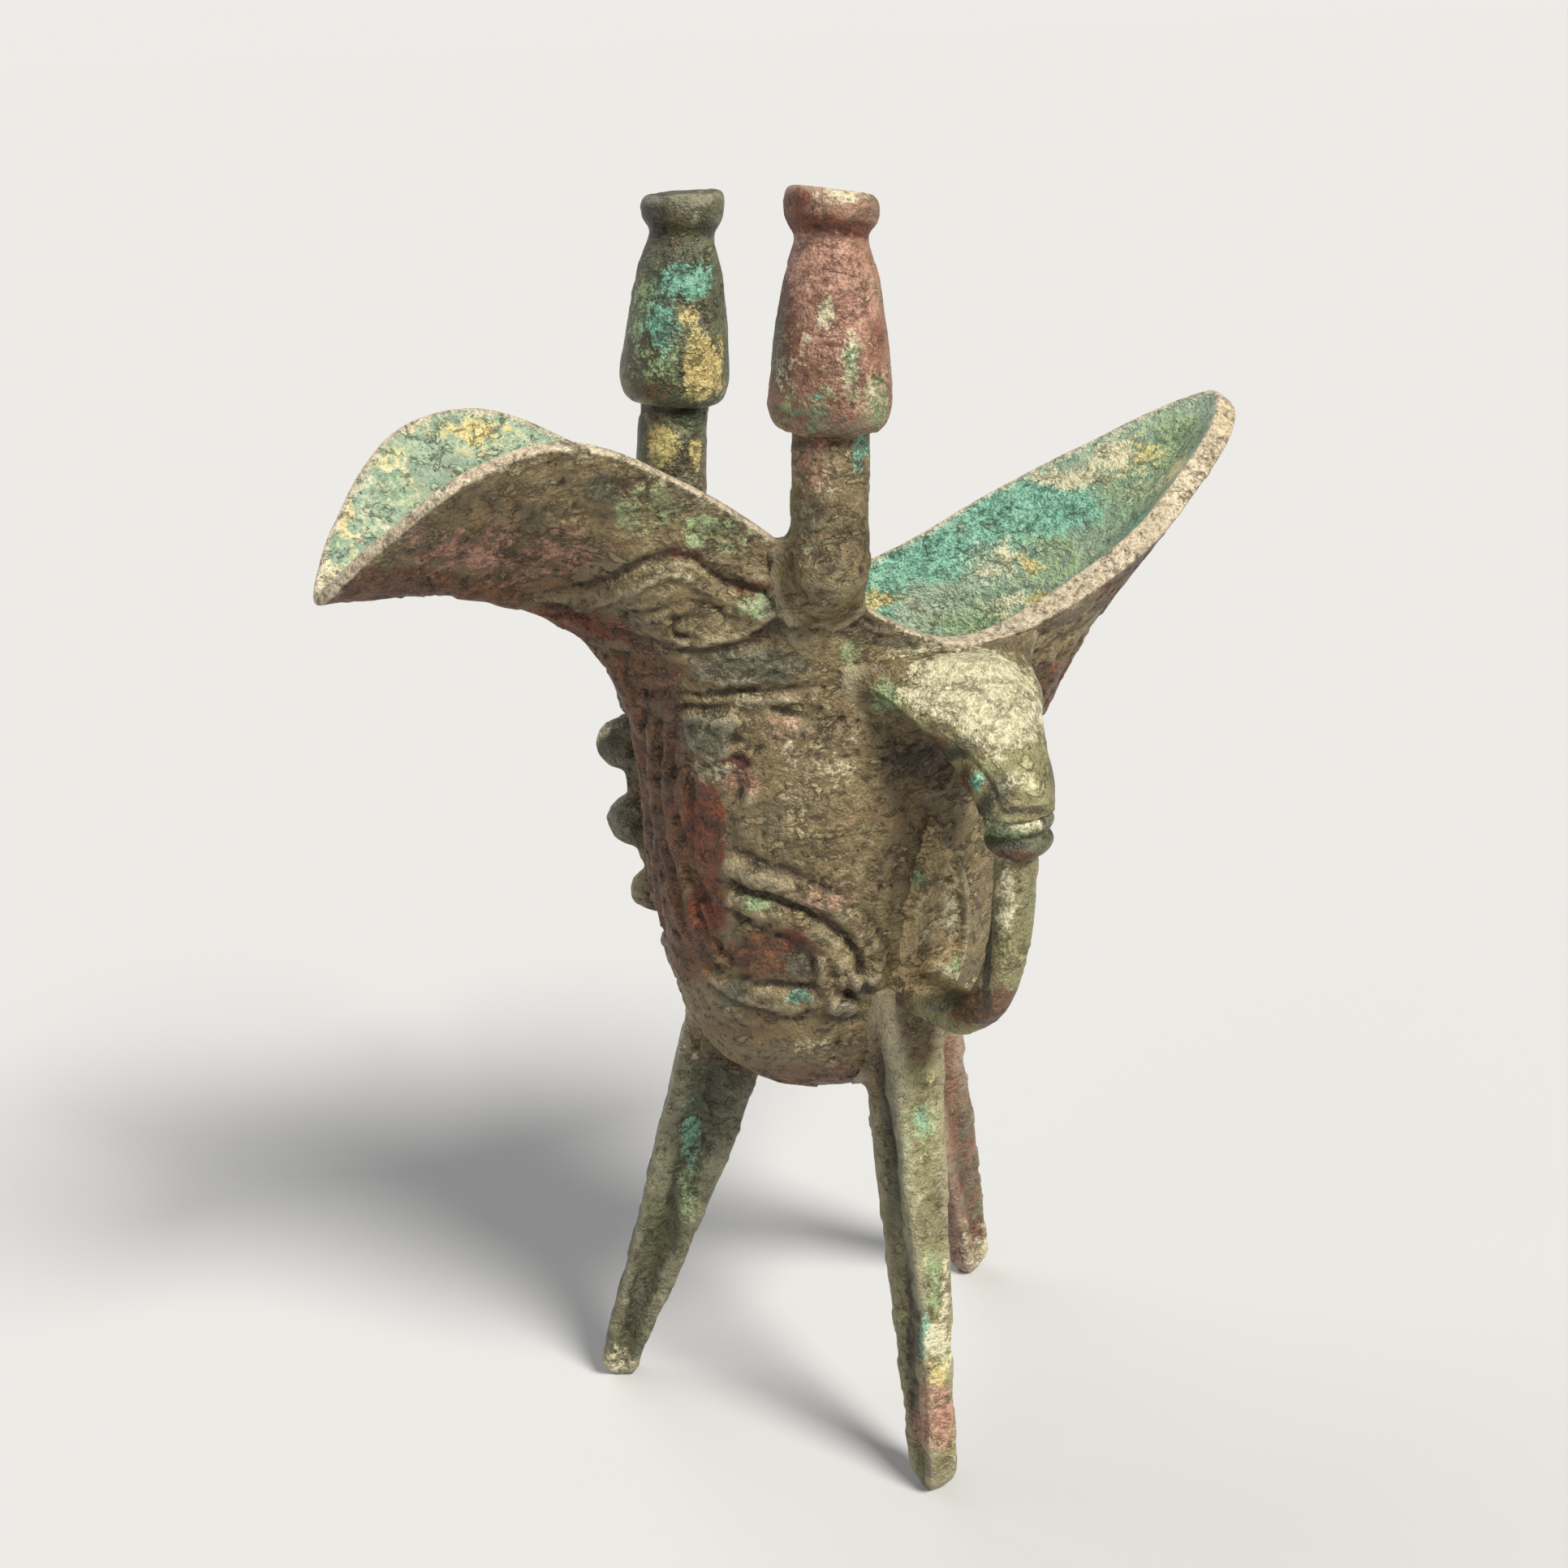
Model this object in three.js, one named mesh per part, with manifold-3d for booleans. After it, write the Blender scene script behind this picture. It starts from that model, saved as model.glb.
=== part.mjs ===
// A three-legged bronze wine cup of the kind called jue: an oval egg-shaped bowl whose rim runs out into a
// pouring spout on one side and a pointed tail on the other, two capped posts on the rim, three blade legs and
// a beast-head handle. Millimetres, +Z up, spout towards -X, tail towards +X, handle towards -Y.
import * as THREE from "three";
import { mergeVertices } from "three/addons/utils/BufferGeometryUtils.js";
import Module from "manifold-3d";

const wasm = await Module();
wasm.setup();

// Fits
const JOINT_GAP = 0.3; // between pieces that seat on each other

// Bowl
const BOWL_CENTRE_X = 5.5;
const BOWL_HALF_LENGTH = 30.2; // along the spout and tail
const BOWL_HALF_WIDTH = 23.3;
const BOWL_FLOOR_Z = 57.2;
const BOWL_WAIST_Z = 100; // where the belly hands over to the flaring neck
const BOWL_WALL = 2.6;
const RIM_HALF_WIDTH = 23.9; // over the handle, the widest part of the rim

// Spout and tail
const SPOUT_TIP_X = -72.3;
const SPOUT_TIP_Z = 146.4;
const SPOUT_HALF_WIDTH = 18;
const SPOUT_CREST_Z = 165.6;
const SPOUT_LIP = 1.9;
const TAIL_TIP_X = 81;
const TAIL_TIP_Z = 156;
const TAIL_DIP_Z = 132;
const TAIL_LIP = 3.7;

// Posts and caps
const NEAR_POST_X = -8.2;
const FAR_POST_X = -9.2;
const POST_RADIUS = 5.1;
const POST_FOOT_RADIUS = 5.6;
const POST_FOOT_Z = TAIL_DIP_Z + 8.2;
const NEAR_POST_LENGTH = 24.6; // foot to shoulder
const FAR_POST_LENGTH = 22.2;
const NEAR_POST_LEAN = 2.4; // degrees towards the tail
const FAR_POST_LEAN = 6.2;
const TENON_RADIUS = 3.1;
const TENON_LENGTH = 17;
const CAP_HEIGHT = 31.2;
const CAP_RADIUS = 8.3;
const CAP_NECK_RADIUS = 4.7;
const CAP_KNOB_RADIUS = 6.1;
const CAP_SLANT = 0.14; // rise of the slanting top across its width

// Legs
const LEG_ROOT_RADIUS = BOWL_HALF_WIDTH - 0.6; // outer face from the bowl's axis, at the leg's top
const LEG_ROOT_WIDTH = 11;
const LEG_ROOT_DEPTH = 14;
const LEG_TOE_WIDTH = 5;
const LEG_TOE_DEPTH = 6.6;
const LEG_PAD = 3.2; // flat under each toe
const LEG_INNER_WIDTH = 4.6;
const LEG_GROOVE = 1.1;

// Handle
const HANDLE_TURN = -84; // degrees round the bowl's axis
const STRAP_REACH = BOWL_HALF_WIDTH + 17.3; // middle of the strap from the bowl's axis
const STRAP_WIDTH = 4.8;
const STRAP_THICKNESS = 4.4;
const STRAP_FOOT_Z = BOWL_FLOOR_Z + 22.6;
const COLLAR_HEIGHT = 6;
const COLLAR_RADIUS = 4.9;
const HEAD_ROOT_WIDTH = 29;
const HEAD_SHIFT = 3.5; // the head's root stands this far towards the tail from the strap's foot
const COLLAR_SHIFT = 2;
const HEAD_ROOT_Z = TAIL_DIP_Z - 5.6;
const HEAD_DROP = 14.1; // from the root down to the collar's top
const COLLAR_Z = HEAD_ROOT_Z - HEAD_DROP - COLLAR_HEIGHT;
const TANG_RADIUS = 1.9;
const TANG_LENGTH = 5;
const LEAF_WIDTH = 14;
const LEAF_LOW_Z = STRAP_FOOT_Z - 3.2;
const LEAF_HIGH_Z = HEAD_ROOT_Z - 18.4;
const LEAF_THICKNESS = 1.9;
const LEAF_RIM = 1.6; // raised edge round a sunk panel
const LEAF_RECESS = 0.9;
const LEAF_BAND_Z = LEAF_LOW_Z + 8; // top of the raised band that the strap springs from
const LEG_TOP_Z = LEAF_LOW_Z - 2 * JOINT_GAP;

// Flanges
const SPOUT_FLANGE_TURN = 148;
const FLANGE_THICKNESS = 5.4;

const deg = THREE.MathUtils.degToRad;
const mix = THREE.MathUtils.lerp;

// Solids

function solidOf(geometry) {
  const bare = geometry.index ? geometry.toNonIndexed() : geometry.clone();
  bare.deleteAttribute("normal");
  bare.deleteAttribute("uv");
  const merged = mergeVertices(bare, 1e-4);
  const vertProperties = merged.attributes.position.array;
  const triVerts = new Uint32Array(merged.index.array);
  return new wasm.Manifold(new wasm.Mesh({ numProp: 3, vertProperties, triVerts }));
}

function geometryOf(solid) {
  const made = solid.getMesh();
  const geometry = new THREE.BufferGeometry();
  geometry.setAttribute("position", new THREE.BufferAttribute(made.vertProperties.slice(), 3));
  geometry.setIndex(new THREE.BufferAttribute(made.triVerts.slice(), 1));
  geometry.computeVertexNormals();
  return geometry;
}

// A closed skin over rings of points, with a single point closing each end. Rings run anticlockwise as seen
// from the far end.
function loft(rings, start, end) {
  const count = rings[0].length;
  const points = [start, ...rings.flat(), end];
  const last = points.length - 1;
  const faces = [];
  for (let i = 0; i < count; i++) {
    const next = (i + 1) % count;
    faces.push(0, 1 + next, 1 + i);
    for (let j = 0; j < rings.length - 1; j++) {
      const low = 1 + j * count;
      const high = low + count;
      faces.push(low + i, low + next, high + next);
      faces.push(low + i, high + next, high + i);
    }
    const top = 1 + (rings.length - 1) * count;
    faces.push(last, top + i, top + next);
  }
  const geometry = new THREE.BufferGeometry().setFromPoints(points);
  geometry.setIndex(faces);
  return geometry;
}

function middleOf(ring) {
  const middle = new THREE.Vector3();
  ring.forEach((point) => middle.add(point));
  return middle.divideScalar(ring.length);
}

function loftClosed(rings) {
  return loft(rings, middleOf(rings[0]), middleOf(rings[rings.length - 1]));
}

const cup = new THREE.Group();

// A frame of the cup for what is modelled about its own axis
function frameAt(x, y, z) {
  const frame = new THREE.Group();
  frame.position.set(x, y, z);
  cup.add(frame);
  return frame;
}

// A frame on the bowl's axis with +X pointing outwards at an azimuth
function spoke(azimuth) {
  const frame = frameAt(BOWL_CENTRE_X, 0, 0);
  frame.rotation.z = deg(azimuth);
  return frame;
}

// A solid of the cup as seen from one of its frames
function seenFrom(frame, solid) {
  frame.updateMatrix();
  return solid.transform(frame.matrix.clone().invert().elements);
}

function put(frame, name, geometry, material) {
  const mesh = new THREE.Mesh(geometry, material);
  mesh.name = name;
  frame.add(mesh);
}

function bronze(colour, roughness) {
  return new THREE.MeshStandardMaterial({ color: colour, roughness, metalness: 0.35 });
}
const earthPatina = bronze(0x8a7a5a, 0.85);
const redPatina = bronze(0x8b5a44, 0.85);
const greenPatina = bronze(0x5d7f6b, 0.85);
const paleGreenPatina = bronze(0xa9b08a, 0.8);

// Vessel: one wall from the bowl's floor to the rim

// The belly's outline from the floor to the waist, as a share of the full plan against height
const bellyPoint = (size, share) => new THREE.Vector2(size, mix(BOWL_FLOOR_Z, BOWL_WAIST_Z, share));
const bellyOutline = new THREE.SplineCurve([
  bellyPoint(0, 0),
  bellyPoint(0.38, 0.042),
  bellyPoint(0.66, 0.164),
  bellyPoint(0.82, 0.327),
  bellyPoint(0.925, 0.56),
  bellyPoint(0.985, 0.79),
  bellyPoint(1.01, 1),
]);

const spoutX = (share) => SPOUT_TIP_X * share;
const tailX = (share) => TAIL_TIP_X * share;
const bowlX = (share) => BOWL_CENTRE_X + BOWL_HALF_LENGTH * share;
const spoutZ = (share) => mix(SPOUT_TIP_Z, SPOUT_CREST_Z, share);
const slopeZ = (share) => mix(TAIL_DIP_Z, SPOUT_CREST_Z, share);
const tailZ = (share) => mix(TAIL_DIP_Z, TAIL_TIP_Z, share);

// Stations round half the rim, from the spout's tip to the tail's tip. y is the half width, lean the way the
// wall points at the rim and turn the place on the belly that feeds the station. The wall goes straight up
// from the waist for a share of the height, rise, and comes straight into the rim for the length of reach.
const station = (x, y, z, lean, turn, rise, reach) => ({ x, y, z, lean, turn, rise, reach });
const stations = [
  station(SPOUT_TIP_X, 0, SPOUT_TIP_Z, [-1, 0, 0], 180, 0.74, 34.4),
  station(spoutX(0.92), 0.48 * SPOUT_HALF_WIDTH, spoutZ(0.39), [-0.95, 0.2, 0.23], 172, 0.79, 29.4),
  station(spoutX(0.75), 0.93 * SPOUT_HALF_WIDTH, spoutZ(0.91), [-0.68, 0.4, 0.61], 161, 0.72, 23.5),
  station(spoutX(0.557), SPOUT_HALF_WIDTH, SPOUT_CREST_Z, [-0.24, 0.36, 0.9], 149, 0.57, 16.5),
  station(spoutX(0.32), 0.78 * RIM_HALF_WIDTH, slopeZ(0.75), [-0.05, 0.18, 0.98], 134, 0.54, 16.5),
  station(bowlX(-0.48), 0.93 * RIM_HALF_WIDTH, slopeZ(0.417), [0, 0.1, 1], 117, 0.44, 14),
  station(bowlX(-0.116), RIM_HALF_WIDTH, slopeZ(0.155), [0, 0.12, 1], 99, 0.4, 12),
  station(bowlX(0.301), RIM_HALF_WIDTH, TAIL_DIP_Z, [0.05, 0.25, 0.96], 80, 0.375, 11),
  station(tailX(0.37), 0.97 * RIM_HALF_WIDTH, tailZ(0.07), [0.15, 0.5, 0.85], 60, 0.36, 12),
  station(tailX(0.6), 0.875 * RIM_HALF_WIDTH, tailZ(0.333), [0.3, 0.62, 0.72], 40, 0.35, 15),
  station(tailX(0.78), 0.64 * RIM_HALF_WIDTH, tailZ(0.625), [0.45, 0.4, 0.8], 22, 0.34, 19),
  station(tailX(0.93), 0.35 * RIM_HALF_WIDTH, tailZ(0.883), [0.58, 0.15, 0.8], 9, 0.34, 21),
  station(TAIL_TIP_X, 0, TAIL_TIP_Z, [0.6, 0, 0.8], 0, 0.32, 22),
];
const PER_STATION = 3;
const AROUND = 2 * PER_STATION * (stations.length - 1);
const BELLY_ROWS = 9;
const NECK_ROWS = 11;

// A smooth curve through one field of the stations. mirror gives the field beyond each tip.
function along(field, fraction, mirror) {
  const last = stations.length - 1;
  const place = fraction * last;
  const i = Math.min(Math.floor(place), last - 1);
  const t = place - i;
  const b = field(stations[i]);
  const c = field(stations[i + 1]);
  const a = i > 0 ? field(stations[i - 1]) : mirror(b, c);
  const d = i < last - 1 ? field(stations[i + 2]) : mirror(c, b);
  const linear = (c - a) * t;
  const square = (2 * a - 5 * b + 4 * c - d) * t * t;
  const cube = (3 * b - a - 3 * c + d) * t * t * t;
  return (2 * b + linear + square + cube) / 2;
}
const even = (tip, neighbour) => neighbour;
const odd = (tip, neighbour) => -neighbour;
const through = (tip, neighbour) => 2 * tip - neighbour;

// The wall's outer meridian at a share of the way round, anticlockwise from the spout's tip
function meridian(share) {
  const near = share <= 0.5;
  const side = near ? -1 : 1;
  const f = near ? 2 * share : 2 - 2 * share;
  const turn = deg(along((s) => s.turn, f, through)) * side;
  const rim = new THREE.Vector3(
    along((s) => s.x, f, even),
    along((s) => s.y, f, odd) * side,
    along((s) => s.z, f, even),
  );
  const lean = new THREE.Vector3(
    along((s) => s.lean[0], f, even),
    along((s) => s.lean[1], f, odd) * side,
    along((s) => s.lean[2], f, even),
  ).normalize();
  const plan = new THREE.Vector3(BOWL_HALF_LENGTH * Math.cos(turn), BOWL_HALF_WIDTH * Math.sin(turn), 0);
  const onBelly = (size, z) => new THREE.Vector3(BOWL_CENTRE_X, 0, z).addScaledVector(plan, size);
  const rise = along((s) => s.rise, f, even);
  const reach = along((s) => s.reach, f, even);
  const points = [];
  for (let j = 1; j <= BELLY_ROWS; j++) {
    const q = bellyOutline.getPoint(j / BELLY_ROWS);
    points.push(onBelly(q.x, q.y));
  }
  const top = bellyOutline.getPoint(1);
  const neck = new THREE.CubicBezierCurve3(
    onBelly(top.x, top.y),
    onBelly(top.x, mix(top.y, rim.z, rise)),
    rim.clone().addScaledVector(lean, -reach),
    rim,
  );
  for (let j = 1; j <= NECK_ROWS; j++) points.push(neck.getPoint(j / NECK_ROWS));
  return points;
}

const meridians = [];
for (let i = 0; i < AROUND; i++) meridians.push(meridian(i / AROUND));
const ROWS = BELLY_ROWS + NECK_ROWS;

// The outer skin's distance from the bowl's axis at an azimuth and a height, on the nearest meridian
function skinRadius(azimuth, z) {
  const away = meridians.map((points) => {
    const above = points.findIndex((point) => point.z > z);
    const next = above < 0 ? points.length - 1 : Math.max(above, 1);
    const low = points[next - 1];
    const high = points[next];
    const at = low.clone().lerp(high, (z - low.z) / (high.z - low.z));
    at.x -= BOWL_CENTRE_X;
    const turn = Math.cos(Math.atan2(at.y, at.x) - deg(azimuth));
    return { turn, radius: Math.hypot(at.x, at.y) };
  });
  return away.reduce((best, one) => (one.turn > best.turn ? one : best)).radius;
}

// Unit vectors out of the wall at each point of the grid
const wallOut = meridians.map((points, i) => {
  const before = meridians[(i + AROUND - 1) % AROUND];
  const after = meridians[(i + 1) % AROUND];
  return points.map((point, j) => {
    const across = after[j].clone().sub(before[j]);
    const upward = points[Math.min(j + 1, ROWS - 1)].clone().sub(points[Math.max(j - 1, 0)]);
    return across.cross(upward).normalize();
  });
});

function lipAt(share) {
  const f = share <= 0.5 ? 2 * share : 2 - 2 * share;
  return mix(SPOUT_LIP, TAIL_LIP, THREE.MathUtils.smoothstep(f, 0.35, 0.75));
}

function ringAt(row, offset) {
  const inLip = THREE.MathUtils.smoothstep(row / (ROWS - 1), 0.55, 1);
  return meridians.map((points, i) => {
    const wall = mix(BOWL_WALL, lipAt(i / AROUND), inLip);
    return points[row].clone().addScaledVector(wallOut[i][row], offset(wall));
  });
}

const rows = [...Array(ROWS).keys()];
const innerRows = rows.filter((row) => row >= BELLY_ROWS || row % 2 === 0).reverse();
const bowlBottom = (lift) => new THREE.Vector3(BOWL_CENTRE_X, 0, BOWL_FLOOR_Z + lift);

// The wall as a solid, grown on every side by the gap that what straddles it needs
function wallSolid(grow) {
  const outer = rows.map((row) => ringAt(row, () => grow));
  const inner = innerRows.map((row) => ringAt(row, (wall) => -wall - grow));
  if (grow > 0) {
    const raise = (ring) => ring.forEach((point) => point.setZ(point.z + grow));
    raise(outer[ROWS - 1]);
    raise(inner[0]);
  }
  return solidOf(loft([...outer, ...inner], bowlBottom(-grow), bowlBottom(BOWL_WALL + grow)));
}

// Everything inside the outer skin, as a cutter for what seats against the outside of the bowl
function coreSolid(grow) {
  const outer = rows.map((row) => ringAt(row, () => grow));
  return solidOf(loft(outer, bowlBottom(-grow), new THREE.Vector3(BOWL_CENTRE_X, 0, TAIL_DIP_Z)));
}

const vesselWall = wallSolid(0);
const seatedCore = coreSolid(JOINT_GAP);
const clearWall = wallSolid(JOINT_GAP);
put(cup, "vessel", geometryOf(vesselWall), earthPatina);

// Legs: a blade with a flat outer face, hollow-ground sides and a narrow inner edge

const legSize = new THREE.SplineCurve([
  new THREE.Vector2(LEG_TOE_WIDTH, LEG_TOE_DEPTH),
  new THREE.Vector2(mix(LEG_TOE_WIDTH, LEG_ROOT_WIDTH, 0.14), mix(LEG_TOE_DEPTH, LEG_ROOT_DEPTH, 0.5)),
  new THREE.Vector2(mix(LEG_TOE_WIDTH, LEG_ROOT_WIDTH, 0.5), mix(LEG_TOE_DEPTH, LEG_ROOT_DEPTH, 0.95)),
  new THREE.Vector2(LEG_ROOT_WIDTH, LEG_ROOT_DEPTH),
]);

// Section at a height, outer face towards +X. width and depth are the section's, face the outer face's place.
function legRing(z, face, shift, width, depth) {
  const half = width / 2;
  const inner = Math.min(LEG_INNER_WIDTH, width) / 2;
  const groove = LEG_GROOVE * Math.min(1, (width - LEG_PAD) / 2);
  const corner = width * 0.1;
  const sideAt = (share) => mix(half, inner, share);
  const right = [
    [0, half - corner],
    [corner, half],
    [depth * 0.3, sideAt(0.3)],
    [depth * 0.42, sideAt(0.42) - groove],
    [depth * 0.58, sideAt(0.58) - groove],
    [depth * 0.7, sideAt(0.7)],
    [depth - corner, inner],
    [depth, inner - corner],
  ];
  const left = right.map(([inward, across]) => [inward, -across]).reverse();
  return [...right, ...left].map(([inward, across]) => new THREE.Vector3(face - inward, across + shift, z));
}

// footRadius is the toe's outer face from the bowl's axis, shift its way sideways and bow the blade's swell
// outwards
function addLeg(name, azimuth, footRadius, shift, bow, material) {
  const steps = 9;
  const rings = [
    legRing(0, footRadius - 1.4, shift, LEG_PAD, LEG_PAD),
    legRing(1.1, footRadius - 0.5, shift, LEG_TOE_WIDTH * 0.9, LEG_TOE_DEPTH * 0.85),
  ];
  for (let i = 0; i <= steps; i++) {
    const t = i / steps;
    const z = mix(3.2, LEG_TOP_Z, t);
    const size = legSize.getPoint(t);
    const face = mix(footRadius, LEG_ROOT_RADIUS, t) + Math.sin(Math.PI * t) * bow;
    rings.push(legRing(z, face, shift * (1 - t), size.x, size.y));
  }
  const frame = spoke(azimuth);
  const blade = solidOf(loftClosed(rings));
  put(frame, name, geometryOf(blade.subtract(seenFrom(frame, seatedCore))), material);
}

addLeg("leg_handle_side", -90, 36.4, -5, 0.8, paleGreenPatina);
addLeg("leg_spout_side", 149, 42.4, 0, -0.4, greenPatina);
addLeg("leg_tail_side", 24, 40.5, 0, 2.2, redPatina);

// Posts: a round stem astride the rim, with a tenon for its cap

function spun(outline, segments) {
  const points = outline.map(([radius, z]) => new THREE.Vector2(radius, z));
  return new THREE.LatheGeometry(points, segments).rotateX(Math.PI / 2);
}

function stemSolid(shoulder) {
  const outline = [
    [0, 0],
    [POST_FOOT_RADIUS * 0.5, 0.3],
    [POST_FOOT_RADIUS * 0.86, 1.8],
    [POST_FOOT_RADIUS, 4.2],
    [POST_FOOT_RADIUS, 7.5],
    [POST_RADIUS, 12.5],
    [POST_RADIUS, shoulder - 0.6],
    [POST_RADIUS - 0.6, shoulder],
    [TENON_RADIUS, shoulder],
    [TENON_RADIUS, shoulder + TENON_LENGTH - 1],
    [TENON_RADIUS - 1, shoulder + TENON_LENGTH],
    [0, shoulder + TENON_LENGTH],
  ];
  return solidOf(spun(outline, 24));
}

// Caps: a tall bell with a neck and a flat knob, its top slanting away from the other post's

function capGeometry(side, shoulder) {
  const low = shoulder + JOINT_GAP;
  const top = shoulder + CAP_HEIGHT;
  const bore = TENON_RADIUS + JOINT_GAP;
  const neckZ = top - 6.4;
  const taper = (share) => mix(CAP_RADIUS - 0.5, CAP_NECK_RADIUS + 0.5, share);
  const outline = [
    [bore, low],
    [CAP_RADIUS - 2.6, low],
    [CAP_RADIUS - 0.8, low + 1.2],
    [CAP_RADIUS, low + 3.6],
    [CAP_RADIUS - 0.15, low + 6.2],
    [taper(0.3) + 0.35, mix(low + 5, neckZ, 0.4)],
    [taper(0.68) + 0.25, mix(low + 5, neckZ, 0.75)],
    [CAP_NECK_RADIUS, neckZ],
    [CAP_NECK_RADIUS, neckZ + 1],
    [CAP_KNOB_RADIUS, top - 3.6],
    [CAP_KNOB_RADIUS, top - 0.9],
    [CAP_KNOB_RADIUS - 0.7, top],
    [0, top],
    [0, shoulder + TENON_LENGTH + 1],
    [bore, shoulder + TENON_LENGTH + 1],
    [bore, low],
  ];
  const geometry = spun(outline, 28);
  const points = geometry.attributes.position;
  for (let i = 0; i < points.count; i++) {
    const share = THREE.MathUtils.smoothstep(points.getZ(i), neckZ, top);
    points.setZ(i, points.getZ(i) + share * CAP_SLANT * side * points.getX(i));
  }
  return geometry;
}

// side is -1 towards the handle and 1 away from it
function addPost(name, side, x, lean, shoulder, capMaterial) {
  const frame = frameAt(x, RIM_HALF_WIDTH * side, POST_FOOT_Z);
  frame.rotation.y = deg(lean);
  const stem = stemSolid(shoulder).subtract(seenFrom(frame, clearWall));
  put(frame, "post_" + name, geometryOf(stem), earthPatina);
  put(frame, "post_cap_" + name, capGeometry(side, shoulder), capMaterial);
}

addPost("near", -1, NEAR_POST_X, NEAR_POST_LEAN, NEAR_POST_LENGTH, redPatina);
addPost("far", 1, FAR_POST_X, FAR_POST_LEAN, FAR_POST_LENGTH, greenPatina);

// Handle: a beast's head springing from the rim, a collar under its snout, a strap and its leaf-shaped seat

const handle = spoke(HANDLE_TURN);

// Rings square to a path seen from the side of the handle. size gives the half width, the half thickness and the
// middle's place across the handle along it.
function sweep(path, steps, size, squareness) {
  const rings = [];
  const sides = 20;
  for (let i = 0; i <= steps; i++) {
    const t = i / steps;
    const at = path.getPoint(t);
    const way = path.getTangent(t);
    const out = new THREE.Vector2(way.y, -way.x);
    const [halfWidth, halfThick, middle] = size(t);
    const ring = [];
    for (let k = 0; k < sides; k++) {
      const a = (2 * Math.PI * k) / sides;
      const rounded = (value) => Math.sign(value) * Math.abs(value) ** squareness;
      const across = middle + rounded(Math.sin(a)) * halfWidth;
      const proud = rounded(Math.cos(a)) * halfThick;
      ring.push(new THREE.Vector3(at.x + out.x * proud, across, at.y + out.y * proud));
    }
    rings.push(ring);
  }
  return rings;
}

// A hood, wide and thin where it springs from the wall under the rim, that slopes out and down to a round snout
const headPath = new THREE.SplineCurve([
  new THREE.Vector2(14, HEAD_ROOT_Z),
  new THREE.Vector2(BOWL_HALF_WIDTH + 0.7, HEAD_ROOT_Z - 0.8),
  new THREE.Vector2(mix(BOWL_HALF_WIDTH, STRAP_REACH, 0.45), HEAD_ROOT_Z - 2.6),
  new THREE.Vector2(STRAP_REACH - 4.8, HEAD_ROOT_Z - HEAD_DROP * 0.47),
  new THREE.Vector2(STRAP_REACH - 0.9, HEAD_ROOT_Z - HEAD_DROP * 0.78),
  new THREE.Vector2(STRAP_REACH + 0.2, HEAD_ROOT_Z - HEAD_DROP - 2.4),
]);
const headSize = new THREE.CatmullRomCurve3([
  new THREE.Vector3(HEAD_ROOT_WIDTH / 2, 5, HEAD_SHIFT),
  new THREE.Vector3(HEAD_ROOT_WIDTH / 2, 5.8, HEAD_SHIFT),
  new THREE.Vector3(HEAD_ROOT_WIDTH / 2 - 3.9, 5.9, HEAD_SHIFT),
  new THREE.Vector3(6.8, 5.4, mix(HEAD_SHIFT, COLLAR_SHIFT, 0.5)),
  new THREE.Vector3(5.8, 4.9, COLLAR_SHIFT),
  new THREE.Vector3(5, 4.5, COLLAR_SHIFT),
]);

function tangHole(low, high) {
  const bore = TANG_RADIUS + JOINT_GAP;
  const pin = new THREE.CylinderGeometry(bore, bore, high - low, 20).rotateX(Math.PI / 2);
  return solidOf(pin.translate(STRAP_REACH, COLLAR_SHIFT, (low + high) / 2));
}

function headSolid() {
  const size = (t) => headSize.getPoint(t).toArray();
  const head = solidOf(loftClosed(sweep(headPath, 18, size, 0.9)));
  const snoutZ = COLLAR_Z + COLLAR_HEIGHT + JOINT_GAP;
  const socket = tangHole(snoutZ - 1, snoutZ + TANG_LENGTH + 1);
  const under = new THREE.BoxGeometry(BOWL_HALF_WIDTH, BOWL_HALF_WIDTH, COLLAR_HEIGHT);
  under.translate(STRAP_REACH, COLLAR_SHIFT, snoutZ - COLLAR_HEIGHT / 2);
  return head.subtract(socket).subtract(solidOf(under));
}

function collarGeometry() {
  const low = COLLAR_Z;
  const high = COLLAR_Z + COLLAR_HEIGHT;
  const waist = mix(low, high, 0.52);
  const bore = TANG_RADIUS + JOINT_GAP;
  const outline = [
    [bore, low],
    [COLLAR_RADIUS - 1.2, low],
    [COLLAR_RADIUS - 0.2, low + 1],
    [COLLAR_RADIUS - 0.3, waist - 0.6],
    [COLLAR_RADIUS - 0.9, waist],
    [COLLAR_RADIUS - 0.1, waist + 0.7],
    [COLLAR_RADIUS, high - 0.7],
    [COLLAR_RADIUS - 0.8, high],
    [bore, high],
    [bore, low],
  ];
  return spun(outline, 24).translate(STRAP_REACH, COLLAR_SHIFT, 0);
}

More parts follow.
